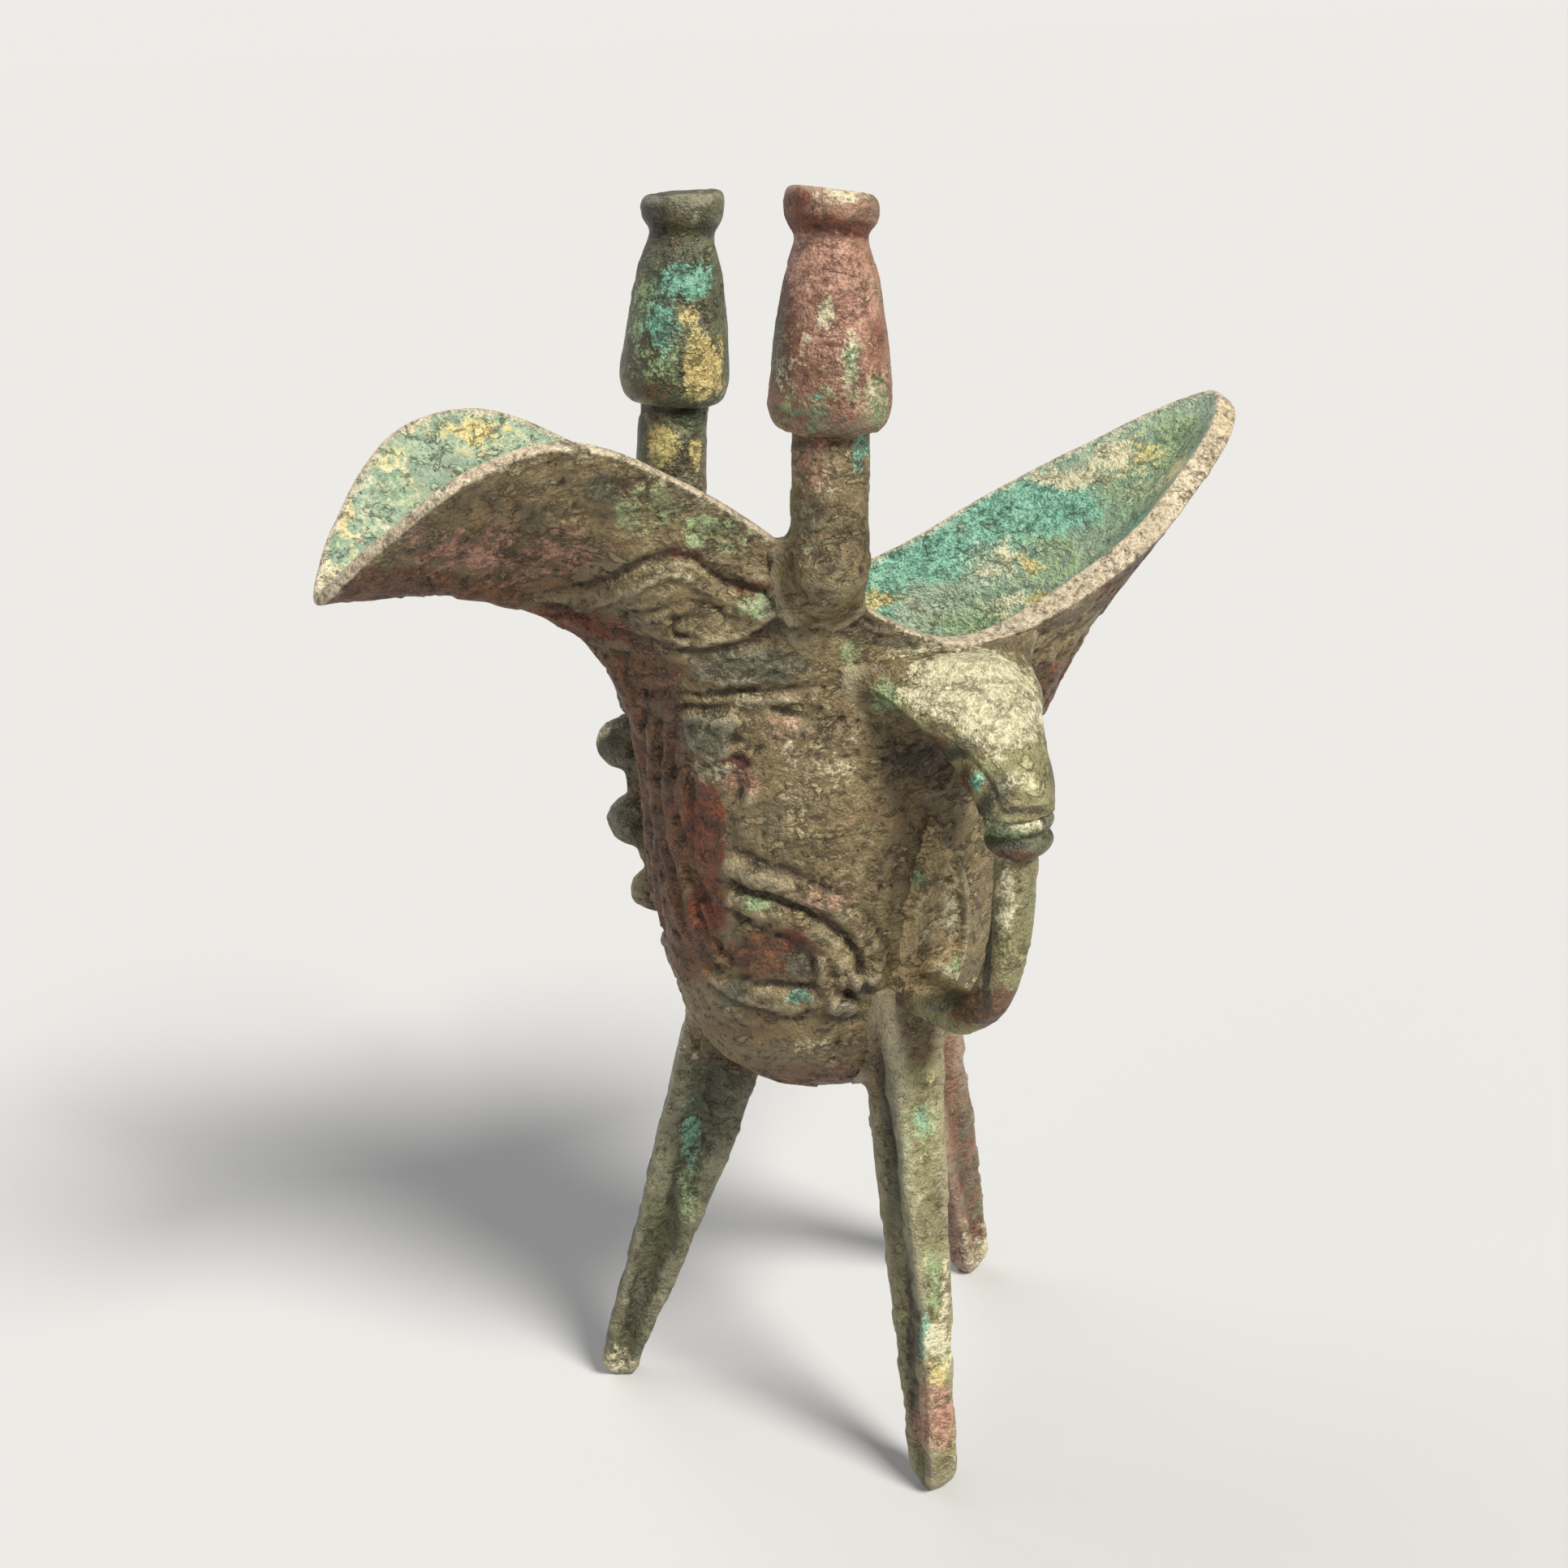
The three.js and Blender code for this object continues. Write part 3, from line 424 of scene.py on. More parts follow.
STROKES = [
    (LENS + LENS[:1], 5, -0.7),
    ([(710, 748), (745, 736), (780, 721), (812, 708), (838, 706), (862, 722), (890, 735),
      (925, 744)], 5, 0.45),
    ([(775, 686), (812, 672), (850, 668), (880, 690), (915, 708), (950, 720), (972, 742)], 9, 0.4),
    (SCROLL, 4.5, -0.6),
    ([(790, 762), (812, 772), (832, 790)], 4, -0.35),
    ([(898, 735), (907, 752), (903, 772)], 4, -0.35),
    ([(925, 752), (935, 756)], 14, 0.35),
    ([(700, 765), (760, 790), (812, 806), (850, 816)], 7, 0.35),
    ([(740, 800), (790, 812), (830, 822), (850, 838)], 5, -0.3),
    ([(782, 857), (830, 853), (870, 856), (910, 852), (950, 850), (1000, 847), (1040, 848),
      (1062, 852)], 4, -0.5),
    ([(832, 872), (870, 868), (900, 872), (925, 880), (945, 872), (980, 880), (1002, 893)], 4.5, -0.35),
    ([(840, 862), (875, 860), (920, 864), (960, 860), (1010, 866)], 6, 0.3),
    ([(793, 880), (795, 950), (797, 1010), (812, 1060), (822, 1110), (840, 1160), (858, 1195)], 4.5, -0.7),
    ([(803, 885), (802, 955), (806, 1015), (819, 1065), (830, 1115), (848, 1162)], 4.5, 0.35),
    ([(812, 890), (810, 960), (817, 1020), (826, 1070), (838, 1120), (855, 1165), (880, 1193)], 4.5, -0.7),
    ([(822, 895), (819, 960), (826, 1020), (836, 1070), (847, 1115), (860, 1145)], 4.5, 0.3),
    ([(832, 900), (828, 960), (836, 1020), (845, 1070), (856, 1110), (872, 1150), (900, 1183)], 4, -0.6),
    ([(850, 945), (852, 990), (850, 1040), (852, 1075), (862, 1102), (884, 1128)], 5, -0.5),
    ([(868, 1104), (880, 1140), (890, 1172), (912, 1192)], 5, -0.4),
    ([(890, 942), (910, 920), (928, 934), (928, 958), (921, 988)], 6, 0.5),
    ([(905, 948), (912, 964), (906, 990)], 5, -0.35),
    ([(905, 1046), (955, 1068), (1010, 1092), (1052, 1114), (1078, 1142), (1094, 1172)], 7, -0.4),
    ([(903, 1066), (940, 1081), (975, 1094), (1010, 1109), (1040, 1126), (1062, 1150), (1075, 1174),
      (1080, 1200)], 15, 0.8),
    ([(905, 1088), (940, 1103), (975, 1116), (1010, 1131), (1038, 1150), (1055, 1174),
      (1060, 1192)], 5, -0.5),
    ([(905, 1106), (940, 1121), (975, 1135), (1005, 1151), (1030, 1170), (1044, 1192),
      (1046, 1206)], 12, 0.75),
    ([(912, 1128), (945, 1146), (975, 1162), (998, 1180), (1003, 1202)], 6, -0.6),
    ([(918, 1140), (945, 1160), (962, 1182)], 5, -0.25),
    ([(856, 1176), (880, 1192), (905, 1203), (935, 1210), (970, 1214), (1003, 1214)], 5, -0.6),
    ([(880, 1216), (920, 1240), (960, 1253), (1000, 1256), (1050, 1256), (1090, 1250)], 5, -0.5),
    ([(1064, 1208), (1064, 1216)], 13, 1.0),
    ([(1030, 1238), (1042, 1243)], 12, 1.0),
    ([(1010, 1184), (1014, 1210), (1020, 1232)], 8, 0.7),
    ([(1041, 1192), (1046, 1228)], 4, -0.6),
    ([(1080, 1198), (1086, 1225), (1090, 1245)], 7, 0.5),
    ([(940, 985), (942, 1015), (938, 1040)], 3, -0.3), ([(953, 978), (955, 1012), (952, 1048)], 3, -0.3),
    ([(966, 982), (968, 1012), (966, 1040)], 3, -0.3), ([(979, 975), (982, 1005), (980, 1044)], 3, -0.3),
    ([(993, 985), (995, 1010), (992, 1038)], 3, -0.25),
]

OUTER_PATCHES = {
    "rust": [(520, 730, 150, 34, 1), (620, 690, 120, 60, 0.65), (730, 665, 60, 50, 0.45),
             (640, 620, 60, 30, 0.45), (785, 850, 60, 60, 1), (820, 1000, 44, 150, 1),
             (850, 1150, 50, 60, 0.9), (945, 1175, 60, 30, 1), (930, 1268, 90, 18, 0.5),
             (1000, 1330, 120, 22, 0.7), (1310, 850, 50, 50, 0.8), (1400, 720, 60, 50, 0.7),
             # The rust patch at 1150, 940 is partly rust and partly painted shade under the handle's head.
             (1150, 940, 60, 30, 0.7), (1050, 1010, 60, 60, 0.3)],
    "ochre": [(650, 648, 110, 34, 0.5)],
    "pink": [(610, 680, 150, 40, 0.56), (715, 640, 40, 34, 0.4), (915, 960, 30, 16, 0.8),
             (975, 900, 50, 26, 0.45), (1015, 1110, 50, 20, 0.6), (1040, 870, 40, 30, 0.4)],
    "red": [(560, 680, 70, 16, 0.7), (700, 770, 90, 34, 0.8), (870, 1020, 26, 60, 1.1),
            (872, 1110, 26, 46, 0.9), (980, 1160, 22, 26, 0.8), (905, 940, 30, 16, 0.8),
            (945, 722, 40, 9, 0.9), (845, 678, 40, 9, 0.8)],
    # The dark patches at 1120, 930 and 1150, 950 are painted shade on the wall under the handle's head.
    "dark": [(814, 1010, 26, 150, 0.4), (1063, 1212, 14, 12, 1), (1036, 1241, 15, 12, 1),
             (1050, 770, 60, 18, 0.7), (1120, 790, 70, 14, 0.6), (1120, 930, 40, 16, 0.8),
             (1150, 950, 50, 20, 0.6)],
    "grey": [(745, 600, 24, 22, 0.9), (655, 640, 20, 26, 0.7), (860, 600, 60, 40, 0.6),
             (925, 820, 70, 24, 1), (975, 740, 40, 60, 0.7), (872, 902, 32, 28, 1.1),
             (945, 1012, 26, 40, 0.5), (960, 1052, 30, 14, 0.5), (985, 1185, 20, 22, 0.9),
             (905, 1222, 24, 14, 1)],
    "green": [(800, 625, 55, 45, 0.55), (880, 655, 60, 30, 0.6), (935, 745, 30, 18, 0.8),
              (935, 1108, 22, 10, 0.8), (1060, 820, 34, 40, 0.5)],
    "pale": [(820, 708, 50, 14, 0.35), (860, 765, 40, 20, 0.3), (885, 950, 34, 16, 0.6),
             (985, 980, 26, 60, 0.3), (1010, 930, 60, 60, 0.4), (1020, 1200, 30, 30, 0.35),
             (960, 860, 90, 14, 0.35), (1160, 800, 70, 26, 0.8), (1000, 700, 50, 30, 0.35),
             (1000, 1290, 70, 24, 0.3)],
    "teal": [(985, 1226, 16, 9, 1)],
}
INNER_PATCHES = {
    "yellow": [(570, 530, 70, 22, 0.62), (425, 645, 16, 50, 0.7), (470, 560, 30, 26, 0.5),
               (620, 560, 50, 16, 0.5), (1085, 738, 30, 12, 0.8), (1285, 742, 20, 20, 1),
               (1265, 690, 20, 20, 0.7), (1400, 560, 40, 26, 0.6)],
    "pale": [(470, 650, 60, 50, 0.45), (520, 600, 40, 20, 0.36), (500, 610, 90, 60, 0.38),
             (420, 718, 50, 24, 1.1), (1410, 600, 70, 44, 0.42), (1225, 690, 40, 30, 0.7),
             (1310, 590, 40, 14, 0.9), (1370, 560, 30, 20, 0.9), (1240, 745, 40, 16, 0.6)],
    "grey": [(540, 590, 60, 40, 0.5), (1150, 735, 50, 50, 0.5), (1330, 590, 60, 30, 0.6)],
    "teal": [(450, 680, 50, 26, 0.3), (1130, 680, 90, 40, 1), (1085, 725, 30, 40, 0.9),
             (1260, 625, 110, 34, 1.1), (1200, 670, 80, 30, 0.8), (1380, 630, 60, 30, 0.42)],
    "green": [(500, 610, 50, 40, 0.5), (1190, 770, 60, 20, 0.7), (1290, 690, 80, 50, 0.6),
              (1400, 610, 90, 60, 0.7), (1450, 560, 50, 50, 0.9), (1230, 760, 60, 30, 0.6)],
}
LIP_PATCHES = {
    "pink": [(590, 600, 90, 34, 0.55), (650, 565, 40, 20, 0.5), (500, 655, 50, 24, 0.4),
             (1400, 680, 50, 40, 0.6), (1470, 590, 30, 50, 0.5)],
    "pale": [(560, 615, 100, 40, 0.5), (710, 560, 70, 30, 0.55), (430, 725, 44, 20, 0.7),
             (1470, 610, 60, 60, 0.6), (1390, 720, 50, 50, 0.5)],
    "yellow": [(1508, 515, 18, 22, 1)],
    "grey": [(960, 690, 60, 40, 0.8), (1100, 760, 60, 20, 0.4)],
}


def wobble(p, x, y, amount):
    """Picture places moved a little, so that what is cast there has uneven edges."""
    return x + amount * noise(p, 3.5, 5, 2), y + amount * noise(p, 3.5, 9, 2)


def blurred(h, times):
    """Heights on the wall's grid, averaged with their neighbours'."""
    for _ in range(times):
        h = (h + np.roll(h, 1, 1) + np.roll(h, -1, 1)) / 3
        h = np.vstack([h[:1], (h[:-2] + h[1:-1] + h[2:]) / 3, h[-1:]])
    return h


COLUMNS, BELLY_ROWS, NECK_ROWS = ((600, 124, 112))
EDGE, LIP_BEND = 0.7, 0.55  # rounding of the rim, and how full it is
FLAKE = 0.28
outer, row_share, lean, around = wall_grid(COLUMNS, BELLY_ROWS, NECK_ROWS, EDGE)
out = grid_normals(outer)
lip_width = mix(SPOUT_LIP, TAIL_LIP, smoothstep(around, 0.35, 0.75))
thick = mix(WALL, lip_width[None, :], smoothstep(row_share, 0.55, 1)[:, None])


def every(step):
    """Every few rows of the wall's grid, and its last one."""
    return [row for row in range(len(outer)) if row % step == 0 or row == len(outer) - 1]


def relief(p, near):
    """How far the cast relief stands out at points of the wall. The far side mirrors the near side, and the
    belly's relief comes again low on the tail's half, whose wall is plain above it and behind the handle."""
    tail = near[:, 0] > CENTRE_X
    again = np.where(tail[:, None], near * [-1, 1, 1] + [2 * CENTRE_X, 0, 0], near)
    x, y = wobble(again, *to_picture(again), 3.5)
    high = np.zeros(len(p))
    for outline, edge, height in FIELDS:
        high += 1.5 * height * field(x, y, outline, edge)
    worn = 0.55 + 0.6 * noise(p, 4.5, 14, 3)
    for points, width, height in STROKES:
        left = 1.5 * worn if height < 0 else 0.6 + 1.2 * worn
        high += height * left * stroke(x, y, points, width, 4 if height > 0 and width > 9 else 2)
    turn = np.degrees(np.arctan2(p[:, 1], p[:, 0] - CENTRE_X))
    high *= np.where(tail & (p[:, 1] < 0), smoothstep(turn, -60, -40), 1)
    low_tail = smoothstep(near[:, 2], 112, 104)
    high *= np.where(tail, np.maximum(low_tail, 0.55 * smoothstep(near[:, 0], 22, 34)), 1)
    return high * smoothstep(row_share, 1, 0.93).repeat(COLUMNS)


def vessel():
    p = outer.reshape(-1, 3)
    near = np.where(p[:, 1:2] > 0, p * [1, -1, 1], p)
    crust = 0.16 * noise(p, 9, 1, 2) + 0.27 * noise(p, 2.7, 2, 3)
    flake = FLAKE * smoothstep(noise(p * [1, 1, 1.9], 5.0, 3, 3), 0.04, 0.13)
    pits = -0.4 * smoothstep(noise(p, 1.7, 8, 2), 0.34, 0.6) * smoothstep(noise(p, 7, 12, 2), -0.1, 0.3)
    shape = (relief(p, near) + crust + flake + pits).reshape(outer.shape[:2])
    hollow = (blurred(shape, 9) - shape) / FLAKE
    keep = 1 - smoothstep(row_share, 0.97, 1)[:, None]
    skin = mix(outer, outer + out * shape[..., None], keep[..., None])

    # The inner skin, from the rim down
    rows = every(3)
    inside = (outer - out * thick[..., None])[rows][::-1]
    lump = 0.18 * noise(inside, 7, 21, 2) + 0.1 * noise(inside, 2.4, 22, 2)
    lump[0] = 0
    inside = inside + out[rows][::-1] * lump[..., None]

    # The lip, rounded over from the outer skin to the inner one
    half = (inside[0] - outer[-1]) / 2
    middle = (inside[0] + outer[-1]) / 2
    rise = EDGE + 0.12 * noise(middle, 4, 31, 2)
    turns = np.radians([22, 42, 62, 78, 90, 102, 118, 138, 158])
    back, up = (bent(way, LIP_BEND)[:, None, None] for way in (np.cos(turns), np.sin(turns)))
    lips = middle - half * back + lean * rise[:, None] * up
    vertices, faces = tube(np.concatenate([skin, lips, inside]), BOTTOM, BOTTOM_INSIDE)

    def cast(points, amount, table):
        return patches(*wobble(points, *to_picture(points), amount), table)

    skin_count, lip_count, inner_count = (len(grid) * COLUMNS for grid in (skin, lips, inside))
    inner = inside.reshape(-1, 3)
    inner = np.where(inner[:, 1:2] < 0, inner * [1, -1, 1], inner)
    parts = (cast(near, 5, OUTER_PATCHES), cast(lips.reshape(-1, 3), 4, LIP_PATCHES),
             cast(inner, 5, INNER_PATCHES))
    masks = {c: np.concatenate([part[c] for part in parts] + [[0, 0]]) for c in PALETTE}
    near_rim = smoothstep(np.linalg.norm(skin - outer[-1][None], axis=-1), 2.6, 0.4).ravel()
    inner_rim = smoothstep(np.linalg.norm(inside - inside[0][None], axis=-1), 1.6, 0.2).ravel()
    masks["lip"] = np.concatenate([near_rim * 0.45, np.ones(lip_count), inner_rim * 0.7, [0, 0]])
    masks["inside"] = np.concatenate([np.zeros(skin_count + lip_count), np.ones(inner_count), [0, 1]])
    masks["hollow"] = np.concatenate([hollow.ravel(), np.zeros(lip_count + inner_count + 2)])
    return vertices, faces, masks


# seating pieces on the wall


def tree_of(rings, end=None):
    """A tube's faces from the bowl's bottom, ready for finding what lies nearest."""
    vertices, faces = tube(rings, BOTTOM, end)
    return BVHTree.FromPolygons(vertices.tolist(), [tuple(f) for block in faces for f in block.tolist()])


# The plain wall's outer skin, and its outer and inner skin as one, at every few points and the last row
COARSE = 4
kept_rows = every(COARSE)
coarse_out, coarse_in = (grid[kept_rows][:, ::COARSE] for grid in (outer, outer - out * thick[..., None]))
CORE = tree_of(coarse_out)
SHELL = tree_of(np.concatenate([coarse_out, coarse_in[::-1]]), BOTTOM_INSIDE)
FAR_AWAY = 30.0
NO_WALL = 99.0  # the distance of a point that has no wall within reach
TUCK = 1.1  # how deep under the skin a point may stay


def gap(tree, vertices, reach):
    """Each point's signed distance to a skin, the skin's way out there and its nearest point."""
    distance = np.full(len(vertices), NO_WALL)
    way = np.zeros_like(vertices)
    foot = vertices.copy()
    for i, p in enumerate(vertices.tolist()):
        at, normal, _, d = tree.find_nearest(p, reach)
        if at is not None:
            n = np.array(normal)
            distance[i] = math.copysign(d, (np.array(p) - np.array(at)) @ n)
            way[i], foot[i] = n, at
    return distance, way, foot


def seat(vertices, faces, fillet, on_rim=False):
    """Flares a piece where it meets the wall, and tucks what is inside the bowl just under the skin. A piece
    on the rim, which also meets the inner skin, isn't tucked."""
    tree = SHELL if on_rim else CORE
    n = normals_of(vertices, faces)
    distance, way, _ = gap(tree, vertices, fillet if on_rim else FAR_AWAY)
    tangent = n - way * np.sum(n * way, axis=1, keepdims=True)
    tangent = tangent / np.maximum(np.linalg.norm(tangent, axis=1, keepdims=True), 0.35)
    near = np.clip(fillet - distance, 0, fillet)
    flare = np.minimum(fillet - np.sqrt(np.maximum(fillet**2 - near**2, 0)), fillet * 0.9)
    if on_rim:
        return vertices + tangent * np.where(distance < 0, 0, flare)[:, None]
    moved = vertices + tangent * flare[:, None]
    distance, way, foot = gap(tree, moved, FAR_AWAY)
    return np.where((distance < 0)[:, None], foot - way * np.clip(-distance, 0, TUCK)[:, None], moved)


def weathered(vertices, faces, rough, seed, flakes=1.0):
    """A piece with the lumps and flakes of corrosion on it."""
    n = normals_of(vertices, faces)
    shape = 0.15 * noise(vertices, 8, 40 + seed, 2) + 0.15 * noise(vertices, 2.6, 50 + seed, 3)
    shape += flakes * 0.2 * smoothstep(noise(vertices, 4.2, 60 + seed, 3), 0.02, 0.15)
    return vertices + n * (shape * rough)[:, None]


def hollows(vertices, faces):
    """How deep each point lies among its neighbours: about 1 in a hollow, and below 0 on an edge."""
    edges = edges_of(faces)
    n = normals_of(vertices, faces)
    depth = np.sum((averaged(vertices, edges, 8) - vertices) * n, axis=1)
    return averaged(depth, edges, 3)[:, 0] / 0.22


def dress(name, node, made, table, finish, slot=None):
    """Places a piece with its masks: cast patches, hollows, and how near the wall each point is."""
    vertices, faces = made
    masks = patches(*wobble(vertices, *to_picture(vertices), 4), table)
    masks["hollow"] = hollows(vertices, faces)
    masks["join"] = smoothstep(gap(CORE, vertices, 12.0)[0], 9.0, 1.5)
    masks["lip"] = masks["inside"] = np.zeros(len(vertices))
    place(name, node, vertices, faces, masks, finish, slot)


def engraved(vertices, faces, lines, fade=1):
    """A piece with grooves and ridges along lines that are cast on to it from the main view."""
    x, y = wobble(vertices, *to_picture(vertices), 2)
    high = sum(height * stroke(x, y, points, width) for points, width, height in lines)
    return vertices + normals_of(vertices, faces) * (high * fade)[:, None]


def turned(v, degrees, axis="z"):
    c, s = math.cos(math.radians(degrees)), math.sin(math.radians(degrees))
    m = {"z": [[c, -s, 0], [s, c, 0], [0, 0, 1]], "y": [[c, 0, s], [0, 1, 0], [-s, 0, c]]}[axis]
    return v @ np.array(m).T


def spoke(v, azimuth):
    """Takes reach, offset to the left and height to a place at an azimuth round the bowl."""
    return turned(v, azimuth) + [CENTRE_X, 0, 0]


def eased(line, times):
    """A line of points with its corners rounded and its ends kept."""
    for _ in range(times):
        line[1:-1] = (line[:-2] + 2 * line[1:-1] + line[2:]) / 4
    return line


def spun(outline, step, columns, corner=0.5):
    """A turned solid with evenly spaced rows and eased corners, from an open profile of radius and height
    that starts and ends on the axis."""
    p = np.array(outline)
    length = np.concatenate([[0], np.cumsum(np.linalg.norm(np.diff(p, axis=0), axis=1))])
    even = np.linspace(0, length[-1], max(int(length[-1] / step), 8))
    line = np.stack([np.interp(even, length, values) for values in p.T], -1)
    line = eased(line, max(int(corner / step * 3), 1))
    radius, height = line[1:-1, :1], line[1:-1, 1:]
    a = np.arange(columns) / columns * 2 * math.pi
    rings = np.stack([radius * np.cos(a), radius * np.sin(a), np.repeat(height, columns, 1)], -1)
    return tube(rings, [0, 0, line[0, 1]], [0, 0, line[-1, 1]])


STEP = 0.5  # mm between the rows of a turned piece

# posts and caps

POST_FOOT = DIP_Z + 8.2
POST_RADIUS, CAP_HEIGHT, CAP_NECK = 5.1, 31.2, 6.4


def post(side, x, tilt, shoulder):
    """A round post on the rim, on the near side (-1) or the far one (1), up to its shoulder under the cap."""
    outline = [(0, -0.5), (2.6, 0), (4.6, 1.6), (5.5, 4.2), (5.6, 7), (5.2, 12), (POST_RADIUS, shoulder),
               (POST_RADIUS, shoulder + 1.5), (0, shoulder + 1.5)]
    vertices, faces = spun(outline, STEP, 80)
    vertices[:, 1] -= side * 0.4 * np.maximum(5 - vertices[:, 2], 0)  # the foot runs back into the wall
    vertices = turned(vertices, tilt, "y") + [x, RIM_WIDTH * side, POST_FOOT]
    vertices = seat(vertices, faces, 4.2, on_rim=True)
    return weathered(vertices, faces, 1.0, 3 + side), faces


def cap(side, x, tilt, shoulder):
    """The flared cap on that post, with a neck and a flat head that slopes outwards."""
    low, top = shoulder + 0.3, shoulder + CAP_HEIGHT
    neck = top - CAP_NECK
    taper = lambda s: mix(7.8, 5.2, s)
    outline = [(0, low + 2.2), (4.6, low + 1.6), (5.3, low), (6.2, low), (7.6, low + 1.2), (8.3, low + 3.6),
               (8.15, low + 6.2), (taper(0.3) + 0.35, mix(low + 5, neck, 0.4)),
               (taper(0.68) + 0.25, mix(low + 5, neck, 0.75)), (4.75, neck), (4.7, neck + 0.9),
               (5.95, top - 3.9), (6.15, top - 2.4), (6.1, top - 0.9), (5.5, top), (3, top - 0.15),
               (0, top - 0.1)]
    vertices, faces = spun(outline, STEP, 96, 0.4)
    vertices[:, 2] += smoothstep(vertices[:, 2], neck, top) * 0.14 * side * vertices[:, 0]
    vertices = turned(vertices, tilt, "y") + [x, RIM_WIDTH * side, POST_FOOT]
    return weathered(vertices, faces, 0.9, 7 + side, 0.7), faces


# legs

STRAP_FOOT = FLOOR_Z + 22.6  # the strap, the leaf and the legs hang together in height
LEAF_LOW_Z = STRAP_FOOT - 3.2
LEG_TOP_Z = LEAF_LOW_Z - 0.6
TOE_Z = 3.2  # below it, a leg is rounded off
FLOOR_SIZE, FLOOR_INSET = np.array([1.8, 2.2]), 2.4  # the toe's width and depth, and how far in it ends
LEG_FOOT, LEG_ROOT = np.array([5, 6.6]), np.array([11, 14])  # width and depth
LEG_SIZE = mix(LEG_FOOT, LEG_ROOT, np.array([(0, 0), (0.14, 0.5), (0.5, 0.95), (1, 1)]))
INNER_WIDTH, GROOVE = 4.6, 1.1
# The dark line between a leg's outer face and its side, and a second one, on the legs that show them
LEG_LINES = {
    "handle": [([(1084, 1290), (1087, 1345), (1100, 1420), (1111, 1500), (1120, 1570), (1131, 1650),
                 (1139, 1720), (1141, 1800), (1146, 1828)], 4, -0.55)],
    "spout": [([(848, 1260), (838, 1310), (824, 1380), (812, 1450), (798, 1520), (786, 1580),
                (772, 1640)], 4, -0.55),
              ([(868, 1262), (856, 1330), (842, 1400), (828, 1470), (812, 1540), (796, 1600)], 4, -0.4)],
    "tail": [([(1190, 1300), (1196, 1380), (1203, 1450), (1206, 1520), (1198, 1560)], 4, -0.45)],
}


def leg(key, azimuth, foot_radius, shift, bow, seed):
    """A blade leg, wide outside and narrow inside, with a groove down each flank and a rounded toe."""
    heights = np.concatenate([[0, 0.4, 1.1, 2.0], np.arange(TOE_Z, LEG_TOP_Z + 4, STEP * 1.2)])
    rings = []
    for z in heights:
        t = np.clip((z - TOE_Z) / (LEG_TOP_Z - TOE_Z), 0, 1)
        width, depth = catmull(LEG_SIZE, t)
        face = mix(foot_radius, HALF_WIDTH - 0.6, t) + math.sin(math.pi * t) * bow
        if z < TOE_Z:
            s = smoothstep(z, -1.4, TOE_Z)
            width, depth = mix(FLOOR_SIZE, LEG_FOOT, s)
            face = mix(foot_radius - FLOOR_INSET, foot_radius, s)
        half, inner = width / 2, min(INNER_WIDTH, width) / 2
        groove = GROOVE * min(1, max(width - 3.2, 0) / 2)  # a narrow toe has none
        edge = width * 0.1
        at = lambda s: mix(half, inner, s)
        right = [(0, 0), (0, half - edge), (edge, half), (depth * 0.3, at(0.3)),
                 (depth * 0.42, at(0.42) - groove), (depth * 0.58, at(0.58) - groove), (depth * 0.7, at(0.7)),
                 (depth - edge, inner), (depth, inner - edge), (depth, 0)]
        fine, given = np.linspace(0, 1, 26), np.linspace(0, 1, len(right))
        line = eased(np.stack([np.interp(fine, given, values) for values in zip(*right)], -1), 2)
        ring = np.vstack([line, (line * [1, -1])[-2:0:-1]])
        rings.append([[face - q[0], q[1] + shift * (1 - t), z] for q in ring])
    vertices, faces = capped(np.array(rings))
    vertices = spoke(vertices, azimuth)
    vertices = seat(vertices, faces, 2.6)
    vertices = engraved(vertices, faces, LEG_LINES[key], smoothstep(vertices[:, 2], 1, 8))
    worn = weathered(vertices, faces, 1.3, seed)
    return mix(vertices, worn, smoothstep(vertices[:, 2], 0, 5)[:, None]), faces


# handle

HANDLE = -84  # azimuth
REACH = HALF_WIDTH + 17.3
HEAD_Z = DIP_Z - 5.6
HEAD_DROP = 14.1  # from the head's root to its mouth
COLLAR_HEIGHT = 6
COLLAR_Z = HEAD_Z - HEAD_DROP - COLLAR_HEIGHT
SNOUT_Z = COLLAR_Z + COLLAR_HEIGHT + 0.3
HEAD_SHIFT, COLLAR_SHIFT = 3.5, 2.0  # towards the tail from the strap's foot
LEAF_TOP_Z, LEAF_WIDTH, LEAF_BACK = HEAD_Z - 18.4, 14.0, 1.3


def swept(path, sizes, rows, columns, power):
    """A tube along a path of reach and height. `sizes` gives half width, half thickness and offset to the
    left at shares of the path. The section is an ellipse at power 1, and a diamond at power 2."""
    t = np.linspace(0, 1, rows)
    p = catmull(path, t)
    way = unit(np.gradient(p, axis=0))
    size = sizes(t)
    a = np.arange(columns) / columns * 2 * math.pi
    power = np.reshape(power, (-1, 1))
    across = size[:, 2:] + bent(np.sin(a), power) * size[:, :1]
    proud = bent(np.cos(a), power) * size[:, 1:2]
    return capped(np.stack([p[:, :1] + way[:, 1:] * proud, across, p[:, 1:] - way[:, :1] * proud], -1))


HEAD_LINES = [
    ([(1128, 908), (1150, 918), (1182, 928), (1204, 945), (1220, 968), (1230, 995)], 4, -0.35),
    ([(1196, 955), (1204, 968)], 8, 0.5),
    ([(1236, 965), (1250, 985), (1272, 990)], 5, -0.3),
]


